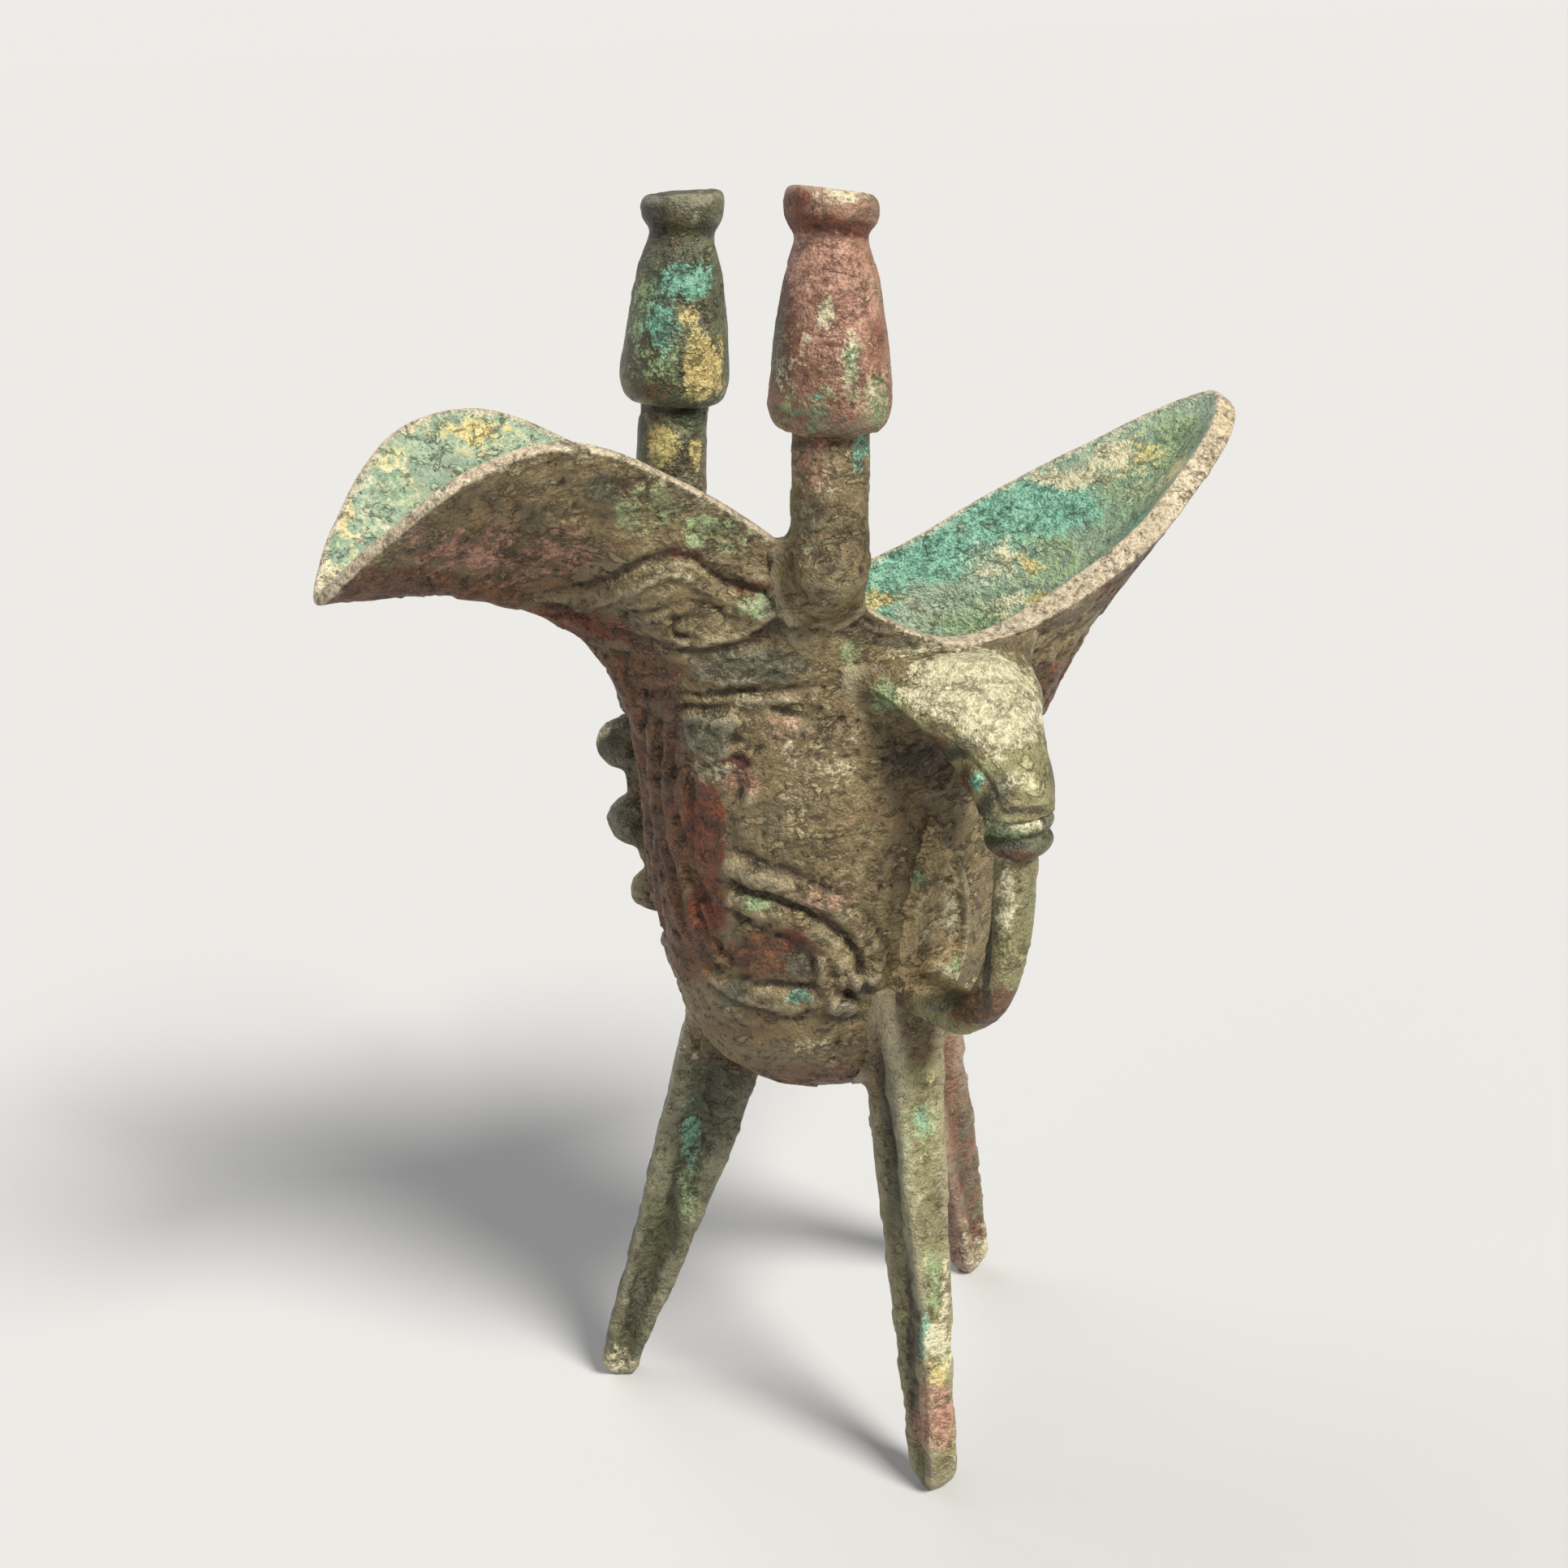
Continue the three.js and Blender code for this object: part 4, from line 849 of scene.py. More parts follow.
def head():
    """The beast's head: a broad hood from the wall that narrows and turns down to its mouth."""
    path = [(14, HEAD_Z + 2.6), (HALF_WIDTH + 0.7, HEAD_Z + 2.2), (mix(HALF_WIDTH, REACH, 0.45), HEAD_Z - 2),
            (REACH - 4.8, HEAD_Z - HEAD_DROP * 0.47), (REACH - 0.9, HEAD_Z - HEAD_DROP * 0.78),
            (REACH + 0.2, HEAD_Z - HEAD_DROP - 2.4)]
    middle = mix(HEAD_SHIFT, COLLAR_SHIFT, 0.5)
    sizes = [(13.5, 5, HEAD_SHIFT), (13.5, 6.2, HEAD_SHIFT), (11, 6.3, HEAD_SHIFT), (7.2, 5.6, middle),
             (5.9, 4.9, COLLAR_SHIFT), (5, 4.5, COLLAR_SHIFT)]
    rows = 130
    power = mix(1.75, 0.9, smoothstep(np.linspace(0, 1, rows), 0.15, 0.7))
    vertices, faces = swept(path, lambda t: catmull(sizes, t), rows, 170, power)
    vertices[:, 2] = np.maximum(vertices[:, 2], SNOUT_Z - 0.2)
    vertices = spoke(vertices, HANDLE)
    vertices = seat(vertices, faces, 4.5)
    vertices[:, 2] = np.minimum(vertices[:, 2], DIP_Z - 0.3)
    return weathered(engraved(vertices, faces, HEAD_LINES), faces, 0.8, 11), faces


def collar():
    """Two rounded rings with a waist between them."""
    low, high = COLLAR_Z, COLLAR_Z + COLLAR_HEIGHT + 0.2
    waist = mix(low, high, 0.52)
    outline = [(0, low - 0.2), (3.4, low - 0.2), (4.5, low + 0.8), (4.9, low + 1.8), (4.6, waist - 0.6),
               (3.9, waist), (4.7, waist + 0.7), (5.0, waist + 1.6), (4.8, high - 0.5), (4, high), (0, high)]
    vertices, faces = spun(outline, STEP * 0.8, 90, 0.3)
    vertices = spoke(vertices + [REACH, COLLAR_SHIFT, 0], HANDLE)
    return weathered(vertices, faces, 0.8, 13, 0.6), faces


def strap():
    """The finger loop's strap, from the wall out, round its bend and up into the collar."""
    top = COLLAR_Z + 0.6
    path = [(HALF_WIDTH * 0.5, STRAP_FOOT + 1), (HALF_WIDTH + 7, STRAP_FOOT - 0.5),
            (REACH - 4.5, STRAP_FOOT + 1), (REACH - 0.6, mix(STRAP_FOOT, top, 0.25)),
            (REACH, mix(STRAP_FOOT, top, 0.53)), (REACH, top)]
    sizes = lambda t: np.stack([mix(4.6, 3.1, smoothstep(t, 0, 0.35)), mix(3, 2.4, smoothstep(t, 0, 0.4)),
                                mix(-1.6, COLLAR_SHIFT - 0.4, smoothstep(t, 0.5, 0.98))], -1)
    vertices, faces = swept(path, sizes, 120, 48, 0.75)
    vertices = spoke(vertices, HANDLE)
    vertices = seat(vertices, faces, 1.8)
    return weathered(vertices, faces, 0.9, 17), faces


def leaf():
    """The leaf-shaped plate under the handle, laid on the wall, with a raised border round a sunk panel."""
    low, top, half = LEAF_LOW_Z, LEAF_TOP_Z, LEAF_WIDTH / 2
    middle = mix(low, top, 0.35)
    t = np.linspace(0, 1, 60)[:, None]
    lower = [(0, low), (half * 0.8, low), (half, mix(low, middle, 0.5)), (half, middle)]
    upper = [(half, middle), (half, mix(middle, top, 0.5)), (half * 0.3, top - 4), (0, top)]
    edge = np.vstack([bezier(*np.array(lower), t), bezier(*np.array(upper), t[1:])])
    rows, columns = ((90, 44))
    z = mix(low, top, (1 - np.cos(np.linspace(0.02, math.pi - 0.02, rows))) / 2)
    wide = np.interp(z, edge[:, 1], edge[:, 0])
    u = bent(np.linspace(-1, 1, columns), 0.8)
    across = wide[:, None] * u[None]
    height = np.repeat(z[:, None], columns, 1)
    outside = np.full(across.shape, 2 * FAR_AWAY)
    start = spoke(np.stack([outside, across, height], -1).reshape(-1, 3), HANDLE)
    inward = Vector(turned(np.array([[-1.0, 0, 0]]), HANDLE)[0])
    hit, normal = (np.array(v) for v in zip(*(CORE.ray_cast(Vector(p), inward)[:2] for p in start)))
    to_end = np.minimum(z - low, (top - z) * 0.6)[:, None]
    border = np.minimum(wide[:, None] * (1 - np.abs(u[None])), to_end).ravel()
    left = smoothstep(-across.ravel() / half, -0.15, 0.55)  # this side runs into the bowl without an edge
    panel = np.maximum(smoothstep(border, 1.5, 2.8), left) * smoothstep(height.ravel(), low + 5, low + 9)
    crown = mix(3.1, 2.2 * smoothstep(border, 0.5, 4) + 0.6, left) * smoothstep(border, 0.0, 0.9)
    lift = -0.8 + crown - mix(1.2, 0.7, left) * panel
    front = (hit + normal * lift[:, None]).reshape(rows, columns, 3)
    back = (hit - normal * LEAF_BACK).reshape(rows, columns, 3)
    vertices, faces = capped(np.concatenate([front, back[:, ::-1]], axis=1))
    return weathered(vertices, faces, 0.9, 19), faces


# flanges


def read(items, key, kind, each=1):
    """One value, or a few, of every item of a mesh."""
    values = np.zeros(len(items) * each, kind)
    items.foreach_get(key, values)
    return values


def remeshed(node, voxel, smooth):
    """A CAD node's shape as an even mesh, its facets smoothed away."""
    copy = add("copy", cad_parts[node].data.copy())
    remesh = copy.modifiers.new("remesh", "REMESH")
    remesh.mode, remesh.voxel_size = "VOXEL", voxel / 1000
    ready = copy.evaluated_get(bpy.context.evaluated_depsgraph_get()).to_mesh()
    vertices = read(ready.vertices, "co", float, 3).reshape(-1, 3) * 1000 + SHIFT
    count = read(ready.polygons, "loop_total", np.int32)
    loops = read(ready.loops, "vertex_index", np.int32)
    starts = first_of_each(count)
    faces = [np.stack([loops[starts[count == k] + c] for c in range(k)], -1)
             for k in (3, 4) if (count == k).any()]
    data = copy.data
    bpy.data.objects.remove(copy)
    bpy.data.meshes.remove(data)
    edges = edges_of(faces)
    for share in (0.6, -0.31) * smooth:
        vertices = vertices + share * (averaged(vertices, edges) - vertices)
    return vertices, faces


def flange(node, azimuth, lobes, seed, proud):
    """A flange from its node's shape, drawn in to a share of its height. A lobe is reach, height and size."""
    vertices, faces = remeshed(node, 0.5, 6)
    distance, way, _ = gap(CORE, vertices, FAR_AWAY)
    vertices = vertices - way * ((1 - proud) * np.maximum(distance, 0))[:, None]
    n = normals_of(vertices, faces)
    # A round pit on both faces of each lobe
    local = turned(vertices - [CENTRE_X, 0, 0], -azimuth)
    on_face = np.abs(local[:, 1]) > 0.6
    for radius, z, size in lobes:
        r = np.hypot(local[:, 0] - radius, local[:, 2] - z) / size
        vertices = vertices - n * (np.exp(-((r / 0.42) ** 2)) * on_face)[:, None]
    vertices = seat(vertices, faces, 1.6)
    return weathered(vertices, faces, 1.1, seed), faces


# patina

# The bright and the deep tone of each channel's patches, in the order in which they lie over one another
PALETTE = {
    "ochre": ((0.56, 0.43, 0.22), (0.33, 0.24, 0.115)),
    "rust": ((0.18, 0.066, 0.022), (0.06, 0.021, 0.008)),
    "red": ((0.19, 0.042, 0.015), (0.07, 0.015, 0.006)),
    "green": ((0.32, 0.43, 0.21), (0.12, 0.18, 0.085)),
    "pink": ((0.46, 0.26, 0.18), (0.25, 0.12, 0.08)),
    "grey": ((0.135, 0.13, 0.08), (0.05, 0.05, 0.03)),
    "teal": ((0.2, 0.46, 0.33), (0.05, 0.17, 0.12)),
    "yellow": ((0.66, 0.55, 0.22), (0.36, 0.26, 0.09)),
    "pale": ((0.66, 0.61, 0.4), (0.36, 0.32, 0.2)),
    "dark": ((0.035, 0.028, 0.016), (0.014, 0.011, 0.007)),
}
# Soil and painted shade for the hollows, dark pits, and cracks with a painted shadow at the foot of the
# flakes
SOIL_AND_SHADE, PIT, CRACK_AND_FLAKE_SHADOW = (0.045, 0.028, 0.015), (0.03, 0.021, 0.012), (0.05, 0.033, 0.018)
RUST_FILM, MOSS_FILM = (0.2, 0.095, 0.045), (0.13, 0.17, 0.085)
# Wear with a painted highlight on what stands proud, and pale specks
WORN_AND_HIGHLIGHT, SPECK = (0.62, 0.55, 0.38), (0.6, 0.56, 0.38)
LIP_DARK, LIP_BRIGHT = (0.32, 0.25, 0.165), (0.66, 0.57, 0.42)
WALL_DARK, WALL_MID = (0.058, 0.038, 0.017), (0.2, 0.15, 0.07)
BUMP = 0.0008  # metres


class Nodes:
    """Short names for the nodes of one material."""

    def __init__(self, name):
        self.material = bpy.data.materials.new(name)
        self.material.use_nodes = True
        self.tree = self.material.node_tree
        self.shader = self.tree.nodes["Principled BSDF"]
        self.at = self.new("ShaderNodeTexCoord").outputs["Object"]

    def new(self, kind, **inputs):
        node = self.tree.nodes.new(kind)
        for key, value in inputs.items():
            self.set(node.inputs[key.replace("_", " ")], value)
        return node

    def set(self, socket, value):
        if isinstance(value, bpy.types.NodeSocket):
            self.tree.links.new(value, socket)
        else:
            socket.default_value = value

    def noise(self, size, detail, rough=0.55, stretch=(1, 1, 1), warp=0.0):
        """Noise from 0 to 1 with lumps about `size` mm across."""
        at = self.at
        if stretch != (1, 1, 1):
            mapping = self.new("ShaderNodeMapping", Vector=at)
            mapping.inputs["Scale"].default_value = stretch
            at = mapping.outputs["Vector"]
        node = self.new("ShaderNodeTexNoise", Vector=at, Scale=1000 / size, Detail=detail, Roughness=rough)
        node.inputs["Distortion"].default_value = warp
        return node.outputs["Fac"]

    def math(self, operation, *values):
        node = self.new("ShaderNodeMath")
        node.operation = operation
        for socket, value in zip(node.inputs, values):
            self.set(socket, value)
        return node.outputs[0]

    def step(self, value, low, high, start=0.0, end=1.0):
        """`start` for values up to low and `end` from high on, with a smooth change between."""
        node = self.new("ShaderNodeMapRange")
        node.interpolation_type = "SMOOTHSTEP"
        self.set(node.inputs["Value"], value)
        for key, v in (("From Min", low), ("From Max", high), ("To Min", start), ("To Max", end)):
            self.set(node.inputs[key], v)
        return node.outputs["Result"]

    def blend(self, fac, a, b):
        """A colour from a, at fac 0, to b."""
        node = self.new("ShaderNodeMix")
        node.data_type = "RGBA"
        for index, value in ((0, fac), (6, a), (7, b)):
            if isinstance(value, tuple):
                value = (*value, 1.0)
            self.set(node.inputs[index], value)
        return node.outputs[2]

    def mask(self, name):
        node = self.new("ShaderNodeAttribute")
        node.attribute_name = name
        return node.outputs["Fac"]


def patina(name, dark, mid, light, crust, inside=None, flaky=1.0):
    """Weathered bronze, as its material and its name: earth and painted shade over three tones of the metal,
    with the masked patches broken up by noise. `crust` is how far the light tone comes in, and `inside` has
    the bowl's own two tones."""
    m = Nodes(name)

    def wave(*args, **options):
        """Noise that mostly lies from -1 to 1."""
        return m.math("MULTIPLY_ADD", m.noise(*args, **options), 4.2, -2.1)

    def times(a, b):
        return m.math("MULTIPLY", a, b)

    def total(*terms):
        """The sum of value, weight pairs."""
        value = times(*terms[0])
        for term in terms[1:]:
            value = m.math("MULTIPLY_ADD", *term, value)
        return value

    broad, medium, fine, grain = wave(12, 3), wave(4, 5, 0.62, warp=0.5), wave(1.1, 4, 0.6), wave(0.4, 2)
    flakes = wave(3.4, 7, 0.62, (1, 1, 1.6), 0.4)
    flake, chip = m.step(flakes, 0.25, 0.5), m.step(wave(1.6, 5, 0.62, warp=0.3), -0.85, -0.5)
    foot = times(m.step(flakes, 0.02, 0.26), m.step(flakes, 0.42, 0.28))
    tone = total((broad, 0.16), (medium, 0.24), (fine, 0.18), (grain, 0.12), (flake, 0.2), (chip, 0.24),
                 (1.0, -0.3))
    base = m.blend(m.step(tone, -0.45, 0.05), dark, mid)
    base = m.blend(times(m.step(tone, 0.0, 0.45), crust), base, light)
    rusty = m.step(total((wave(7, 5, 0.65), 1.0), (fine, 0.3)), 0.25, 0.9)
    base = m.blend(times(rusty, 0.32), base, RUST_FILM)
    mossy = m.step(total((wave(6, 5, 0.65, warp=0.3), 1.0), (fine, 0.3)), 0.3, 0.95)
    base = m.blend(times(mossy, 0.34), base, MOSS_FILM)
    ragged = total((medium, 0.34), (fine, 0.24), (grain, 0.12))

    def frayed(mask, low, high, *ends):
        """A mask with its edge broken up."""
        return m.step(m.math("ADD", m.mask(mask), ragged), low, high, *ends)

    if inside:
        deep, bright = inside
        within = m.blend(m.step(tone, -0.4, 0.35), deep, bright)
        base = m.blend(m.mask("inside"), base, within)
    else:
        wall = m.blend(m.step(tone, -0.4, 0.08), WALL_DARK, WALL_MID)
        base = m.blend(frayed("join", 0.25, 0.85), base, wall)
    # Each patch is ragged at its edge, down to single flakes, and mottled within
    speck = m.step(total((medium, 0.35), (fine, 0.6), (grain, 0.5)), -0.4, 0.4)
    for channel, (bright, deep) in PALETTE.items():
        amount = times(frayed(channel, 0.36, 0.74), m.step(m.mask(channel), 0.03, 0.3, 0.0, 0.88))
        base = m.blend(amount, base, m.blend(speck, deep, bright))
    # Cracks and a painted shadow along the foot of each flake, weaker inside the bowl
    shadow = m.step(m.mask("inside"), 0, 1, 0.55 * flaky, 0.2)
    base = m.blend(times(foot, shadow), base, CRACK_AND_FLAKE_SHADOW)
    # Worn lips
    bare = m.blend(m.step(total((fine, 0.6), (grain, 0.4)), -0.6, 0.5), LIP_DARK, LIP_BRIGHT)
    base = m.blend(frayed("lip", 0.4, 1.0, 0.0, 0.75), base, bare)
    # Soil and painted shade in the hollows, wear and a painted highlight on what stands proud, and dark and
    # pale specks
    hollow = m.mask("hollow")
    # Soil and painted shade, darkening whatever lies in a hollow
    soil_and_shade = m.step(total((hollow, 1.0), (ragged, 0.8)), 0.3, 1.6, 0.0, 0.82)
    base = m.blend(soil_and_shade, base, SOIL_AND_SHADE)
    # Wear and a painted highlight lighten what stands proud
    proud = m.step(total((hollow, -1.0), (ragged, 0.7)), 0.35, 1.7, 0.0, 0.45)
    calm = m.step(m.math("ADD", m.mask("rust"), m.mask("red")), 0.1, 0.9, 1.0, 0.25)
    base = m.blend(times(proud, calm), base, m.blend(0.55, base, WORN_AND_HIGHLIGHT))
    crowd = m.step(wave(6, 3), -0.2, 0.8)
    pits = times(m.step(wave(0.75, 3, 0.6), 0.6, 1.1), crowd)
    base = m.blend(times(pits, 0.75), base, PIT)
    pale_specks = m.step(total((wave(0.7, 4, 0.65), 0.9), (medium, 0.35)), 0.45, 1.15, 0.0, 0.5)
    base = m.blend(times(pale_specks, calm), base, SPECK)
    m.set(m.shader.inputs["Base Color"], base)
    m.set(m.shader.inputs["Roughness"], total((fine, 0.1), (medium, 0.07), (1.0, 0.42)))
    m.shader.inputs["Metallic"].default_value = 0.1
    m.shader.inputs["Specular IOR Level"].default_value = 0.5
    height = total((flake, 0.4 * flaky), (chip, 0.25), (medium, 0.14), (fine, 0.17), (grain, 0.08),
                   (pits, -0.7))
    bump = m.new("ShaderNodeBump", Height=height, Strength=1.0, Distance=BUMP)
    m.set(m.shader.inputs["Normal"], bump.outputs["Normal"])
    return m.material, name


EARTH = patina("earth_patina", WALL_DARK, WALL_MID, (0.48, 0.41, 0.23), 0.75,
               ((0.13, 0.21, 0.14), (0.46, 0.55, 0.39)))
RED = patina("red_patina", (0.13, 0.052, 0.032), (0.3, 0.16, 0.1), (0.55, 0.42, 0.29), 0.7, flaky=0.7)
GREEN = patina("green_patina", (0.022, 0.026, 0.012), (0.1, 0.105, 0.05), (0.33, 0.34, 0.18), 0.6)
PALE = patina("pale_green_patina", (0.08, 0.065, 0.028), (0.24, 0.22, 0.1), (0.6, 0.57, 0.33), 0.75,
              flaky=0.6)

# the pieces

place("vessel_wall", "vessel", *vessel(), EARTH)

NEAR_POST_PATCHES = {
    "pink": [(1000, 575, 34, 40, 0.55)],
    "teal": [(1058, 560, 10, 30, 0.8)],
    "grey": [(1000, 640, 40, 30, 0.5)],
    "rust": [(1010, 545, 50, 10, 0.9), (990, 570, 20, 20, 0.6)],
    "pale": [(1000, 690, 40, 20, 0.3), (1015, 600, 20, 14, 0.35)],
    "dark": [(975, 548, 10, 6, 0.8)],
    "green": [(1005, 650, 40, 40, 0.42)],
}
FAR_POST_PATCHES = {
    "yellow": [(815, 550, 20, 24, 1.1), (856, 560, 9, 20, 0.9)],
    "green": [(840, 525, 30, 20, 0.7)],
    "grey": [(840, 545, 60, 60, 0.6)],
    "dark": [(830, 506, 40, 6, 1)],
}
NEAR_CAP_PATCHES = {
    "pink": [(1030, 370, 50, 70, 1), (1010, 320, 50, 40, 0.9), (1065, 470, 40, 60, 0.6)],
    # The rust patch at 960, 400 and the grey one at 958, 430 are partly rust and grey and partly painted
    # shade on the cap's side away from the light.
    "rust": [(960, 400, 26, 110, 0.9), (1000, 500, 60, 40, 0.6), (975, 260, 20, 30, 0.8)],
    "red": [(1000, 275, 40, 14, 1.1), (1050, 282, 30, 12, 1.1), (985, 245, 18, 14, 0.8),
            (1080, 430, 14, 60, 0.6), (1040, 345, 34, 24, 0.5)],
    "pale": [(1045, 240, 44, 14, 0.6), (1000, 224, 50, 8, 0.45), (1020, 385, 13, 24, 0.9),
             (1075, 480, 10, 20, 0.6), (960, 470, 40, 30, 0.4), (1045, 440, 14, 36, 0.6),
             (985, 430, 20, 70, 0.36)],
    "green": [(1050, 435, 12, 28, 1), (1078, 490, 16, 34, 1.1), (1000, 505, 50, 40, 0.55),
              (1052, 462, 16, 50, 0.8), (1020, 372, 12, 26, 0.6)],
    "teal": [(1052, 450, 8, 22, 0.6), (1005, 488, 12, 8, 0.7)],
    "grey": [(1010, 510, 34, 14, 0.7), (1040, 522, 50, 16, 0.6), (958, 430, 14, 90, 0.6)],
    "dark": [(1040, 538, 60, 6, 0.7)],
}
FAR_CAP_PATCHES = {
    "teal": [(845, 345, 34, 26, 1), (812, 400, 24, 40, 0.8)],
    "green": [(795, 400, 24, 50, 0.7), (810, 440, 40, 40, 0.6)],
    "grey": [(864, 408, 14, 22, 1), (840, 320, 30, 26, 0.6), (850, 255, 40, 26, 0.5)],
    "yellow": [(862, 455, 20, 40, 1.3), (850, 385, 14, 14, 0.6), (884, 455, 9, 34, 0.8),
               (780, 455, 12, 30, 0.4)],
    "dark": [(805, 265, 22, 34, 1), (870, 282, 16, 12, 0.7), (840, 440, 10, 30, 0.5)],
    "pale": [(860, 225, 40, 10, 0.5)],
    "rust": [(800, 480, 40, 16, 0.6)],
}
# side, x, tilt, shoulder
NEAR, FAR = (-1, -8.2, 2.4, 24.6), (1, -9.2, 6.2, 22.2)
dress("post_stem_near", "post_near", post(*NEAR), NEAR_POST_PATCHES, EARTH)
dress("cap_near", "post_cap_near", cap(*NEAR), NEAR_CAP_PATCHES, RED)
dress("post_stem_far", "post_far", post(*FAR), FAR_POST_PATCHES, GREEN, "earth_patina")
dress("cap_far", "post_cap_far", cap(*FAR), FAR_CAP_PATCHES, GREEN)

HANDLE_LEG_PATCHES = {
    "green": [(1135, 1385, 24, 24, 0.7), (1160, 1660, 26, 40, 0.5), (1112, 1400, 9, 110, 0.7),
              (1150, 1580, 14, 50, 0.6)],
    "yellow": [(1145, 1330, 20, 24, 0.4), (1155, 1690, 20, 20, 0.6)],
    "pale": [(1160, 1650, 22, 34, 0.55), (1140, 1470, 14, 100, 0.35), (1165, 1590, 6, 50, 0.7)],
    "teal": [(1140, 1640, 8, 40, 0.7), (1138, 1380, 9, 30, 0.5)],
    "rust": [(1142, 1290, 30, 30, 0.45), (1170, 1745, 12, 16, 0.9), (1160, 1230, 40, 24, 0.5)],
    "grey": [(1150, 1500, 20, 60, 0.45), (1100, 1400, 14, 160, 0.9), (1128, 1640, 10, 130, 0.8),
             (1150, 1810, 30, 24, 0.5)],
    "pink": [(1150, 1745, 34, 46, 1)],
    "dark": [(1122, 1650, 8, 160, 0.6)],
}
SPOUT_LEG_PATCHES = {
    "teal": [(852, 1405, 18, 50, 0.6)],
    "green": [(846, 1470, 20, 40, 0.7)],
    "grey": [(880, 1400, 30, 120, 0.7), (790, 1600, 30, 50, 0.6)],
    "pale": [(812, 1400, 8, 140, 0.12), (850, 1300, 20, 40, 0.4), (762, 1675, 26, 20, 0.6)],
    "rust": [(905, 1310, 24, 60, 0.6)],
    "dark": [(830, 1500, 10, 120, 0.6)],
}
TAIL_LEG_PATCHES = {
    "grey": [(1200, 1420, 40, 160, 0.6)],
    "green": [(1205, 1450, 20, 90, 0.5)],
    "rust": [(1190, 1380, 12, 90, 0.5)],
    "pale": [(1200, 1540, 24, 40, 0.6)],
}
# azimuth, foot's radius, shift, bow, seed
for key, spec, table, finish in (
    ("handle", (-90, 36.4, -5, 0.8, 1), HANDLE_LEG_PATCHES, PALE),
    ("spout", (149, 42.4, 0, -0.4, 2), SPOUT_LEG_PATCHES, GREEN),
    ("tail", (24, 40.5, 0, 2.2, 3), TAIL_LEG_PATCHES, RED),
):
    dress("blade_leg_" + key, "leg_" + key + "_side", leg(key, *spec), table, finish)

HEAD_PATCHES = {
    # The pale patch at 1195, 845 is partly the hood's pale patina and partly a painted highlight on its top.
    "pale": [(1195, 845, 76, 44, 1.2), (1240, 885, 44, 44, 1.1), (1262, 960, 24, 20, 0.5)],
    "green": [(1092, 858, 24, 26, 0.7), (1240, 925, 40, 36, 0.42)],
    "grey": [(1200, 918, 34, 12, 0.7), (1236, 972, 26, 26, 0.6), (1298, 930, 9, 50, 0.8)],
    "yellow": [(1165, 880, 40, 12, 0.5)],
    "rust": [(1215, 843, 14, 17, 0.85), (1196, 834, 12, 8, 0.6), (1130, 916, 50, 12, 0.9),
             (1240, 985, 20, 12, 0.6), (1190, 962, 10, 30, 0.9), (1165, 812, 40, 8, 0.5)],
    "pink": [(1205, 925, 34, 14, 0.5)],
    "teal": [(1202, 962, 8, 12, 0.9)],
    # The dark patches are painted shade under the head's overhang and down the sides of its snout.
    "dark": [(1218, 985, 12, 16, 0.7), (1262, 998, 44, 7, 0.7), (1304, 965, 7, 40, 0.7),
             (1165, 930, 44, 9, 0.8), (1208, 1000, 14, 10, 0.8)],
}
COLLAR_PATCHES = {
    "pale": [(1255, 1016, 50, 10, 0.7)],
    "green": [(1240, 1022, 40, 12, 0.9)],
    "dark": [(1240, 1042, 40, 9, 0.8)],
    "rust": [(1250, 1056, 46, 8, 0.9)],
}
STRAP_PATCHES = {
    # This pale stripe is partly pale patina and partly a painted highlight down the strap's lit middle.
    "pale": [(1240, 1105, 13, 60, 0.75)],
    "green": [(1236, 1130, 14, 50, 0.5)],
    "ochre": [(1238, 1180, 16, 50, 0.42), (1135, 1214, 40, 18, 0.8)],
    "rust": [(1225, 1242, 54, 24, 1.3), (1225, 1200, 14, 30, 0.6)],
    # The dark patch at 1216, 1150 is painted shade on the strap's left side and in the slot beside it.
    "dark": [(1216, 1150, 8, 110, 1)],
    "grey": [(1240, 1075, 24, 24, 0.5), (1262, 1130, 9, 110, 0.4), (1160, 1236, 34, 14, 0.8)],
}
LEAF_PATCHES = {
    # The ochre, yellow and pale patches are partly the leaf's own colour and partly painted light against the
    # handle's cast shadow.
    "ochre": [(1136, 1150, 44, 120, 1.2)],
    "yellow": [(1140, 1120, 20, 50, 0.4), (1142, 1190, 22, 22, 0.5)],
    "pale": [(1146, 1140, 26, 70, 0.42), (1160, 1205, 24, 14, 0.9), (1172, 1120, 14, 50, 0.7)],
    "pink": [(1128, 1165, 16, 26, 0.4)],
    "green": [(1132, 1085, 12, 16, 0.8), (1176, 1190, 12, 22, 0.7)],
    "grey": [(1150, 1235, 40, 18, 0.8)],
    # The dark patch at 1198, 1170 is painted shade in the slot between the leaf and the strap.
    "dark": [(1198, 1170, 6, 60, 0.8)],
}
dress("beast_head", "handle_beast_head", head(), HEAD_PATCHES, PALE)
dress("collar", "handle_collar", collar(), COLLAR_PATCHES, GREEN)
dress("strap", "handle_strap", strap(), STRAP_PATCHES, PALE)
dress("leaf_seat", "handle_leaf_seat", leaf(), LEAF_PATCHES, EARTH)

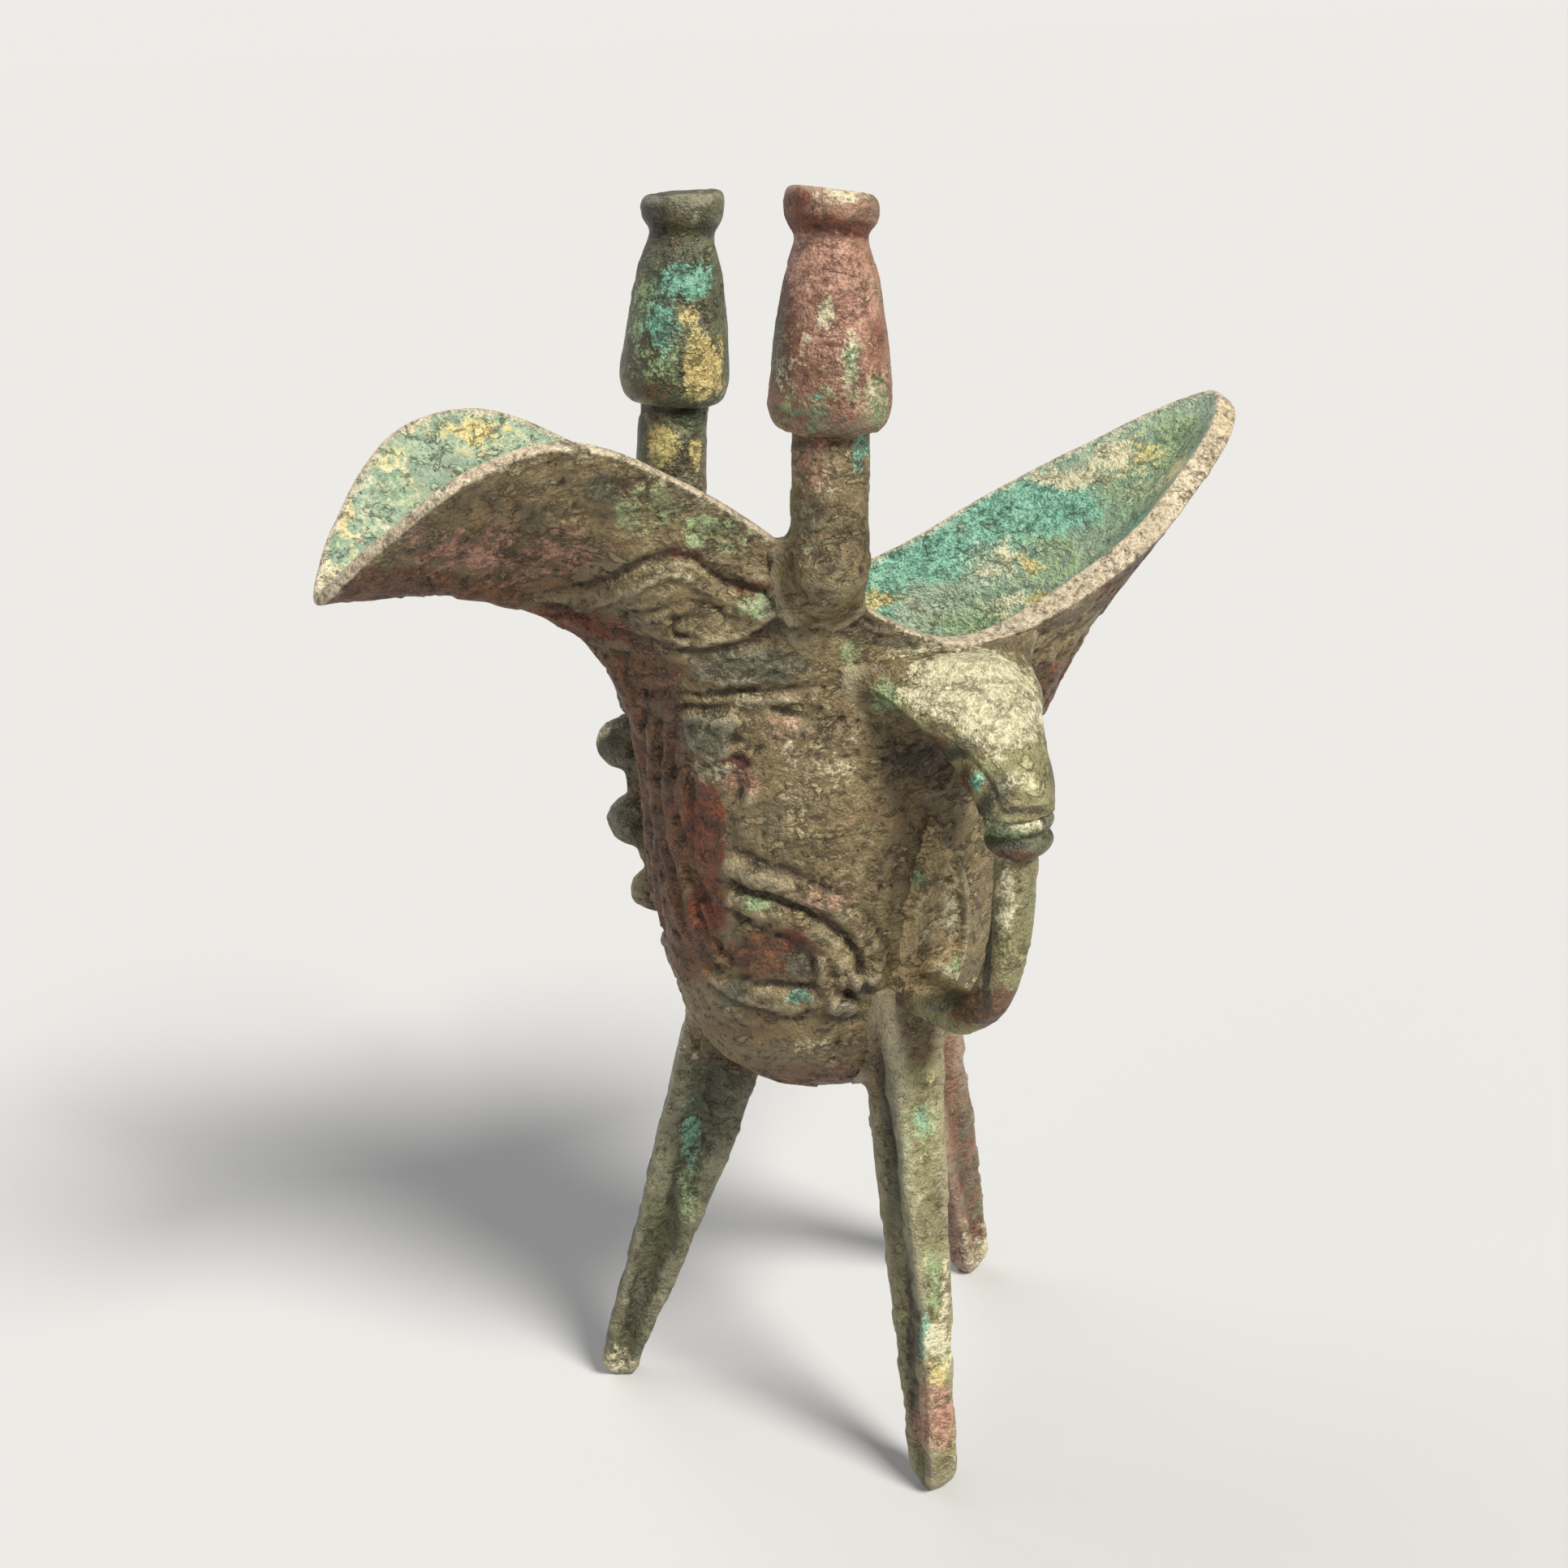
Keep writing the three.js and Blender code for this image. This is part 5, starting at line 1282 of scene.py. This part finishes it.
SPOUT_LOBES = [(29.5, 113, 4.8), (29.3, 100.6, 4.6), (27.5, 88.8, 4.1)]
TAIL_LOBES = [(45, 121, 3.4), (42.5, 114, 3.4), (40, 106.5, 3.3), (37, 98.5, 3.2)]
SPOUT_FLANGE_PATCHES = {
    "grey": [(760, 930, 40, 60, 0.7), (770, 1020, 34, 40, 0.7)],
    "pale": [(740, 900, 20, 16, 0.8)],
    "dark": [(757, 915, 14, 12, 0.8)],
}
TAIL_FLANGE_PATCHES = {"rust": [(1340, 840, 60, 60, 0.5)], "pale": [(1350, 800, 20, 30, 0.5)]}
for node, name, azimuth, lobes, seed, proud, table, finish in (
    ("flange_spout_side", "spout_flange", 148, SPOUT_LOBES, 23, 1.0, SPOUT_FLANGE_PATCHES, GREEN),
    ("flange_tail_side", "tail_flange", 0, TAIL_LOBES, 29, 0.6, TAIL_FLANGE_PATCHES, RED),
):
    dress(name, node, flange(node, azimuth, lobes, seed, proud), table, finish)

# floor and light

sheet = bpy.data.meshes.new("floor")
sheet.from_pydata([(-30, -30, 0), (30, -30, 0), (30, 30, 0), (-30, 30, 0)], [], [(0, 1, 2, 3)])
floor = add("floor", sheet)
m = Nodes("pale_floor")
m.shader.inputs["Base Color"].default_value = (0.5, 0.5, 0.5, 1)
m.shader.inputs["Roughness"].default_value = 0.85
m.shader.inputs["Specular IOR Level"].default_value = 0.0
sheet.materials.append(m.material)


def lamp(name, azimuth, elevation, power, softness, colour):
    """A broad, even light from an azimuth and elevation in degrees, seen from the cup."""
    light = add(name, bpy.data.lights.new(name, "SUN"))
    light.data.energy, light.data.angle, light.data.color = power, math.radians(softness), colour
    a, e = math.radians(azimuth), math.radians(elevation)
    light.location = (math.cos(a) * math.cos(e), math.sin(a) * math.cos(e), math.sin(e))
    light.rotation_euler = light.location.to_track_quat("Z", "Y").to_euler()


lamp("key", -72, 48, 4.9, 20, (1.0, 0.97, 0.91))
lamp("fill", -172, 26, 0.35, 50, (0.97, 0.98, 1.0))
lamp("back", 105, 42, 1.3, 60, (0.97, 0.98, 1.0))
world = bpy.data.worlds.new("studio")
world.use_nodes = True
tree = world.node_tree
lit, seen = tree.nodes["Background"], tree.nodes.new("ShaderNodeBackground")
for node, strength, colour in ((lit, 0.22, (0.99, 0.985, 0.97, 1)), (seen, 0.85, (1.0, 0.981, 0.942, 1))):
    node.inputs["Color"].default_value = colour
    node.inputs["Strength"].default_value = strength
either, path = tree.nodes.new("ShaderNodeMixShader"), tree.nodes.new("ShaderNodeLightPath")
tree.links.new(path.outputs["Is Camera Ray"], either.inputs[0])
tree.links.new(lit.outputs[0], either.inputs[1])
tree.links.new(seen.outputs[0], either.inputs[2])
tree.links.new(either.outputs[0], tree.nodes["World Output"].inputs["Surface"])
bpy.context.scene.world = world
bpy.context.scene.view_settings.view_transform = "Standard"
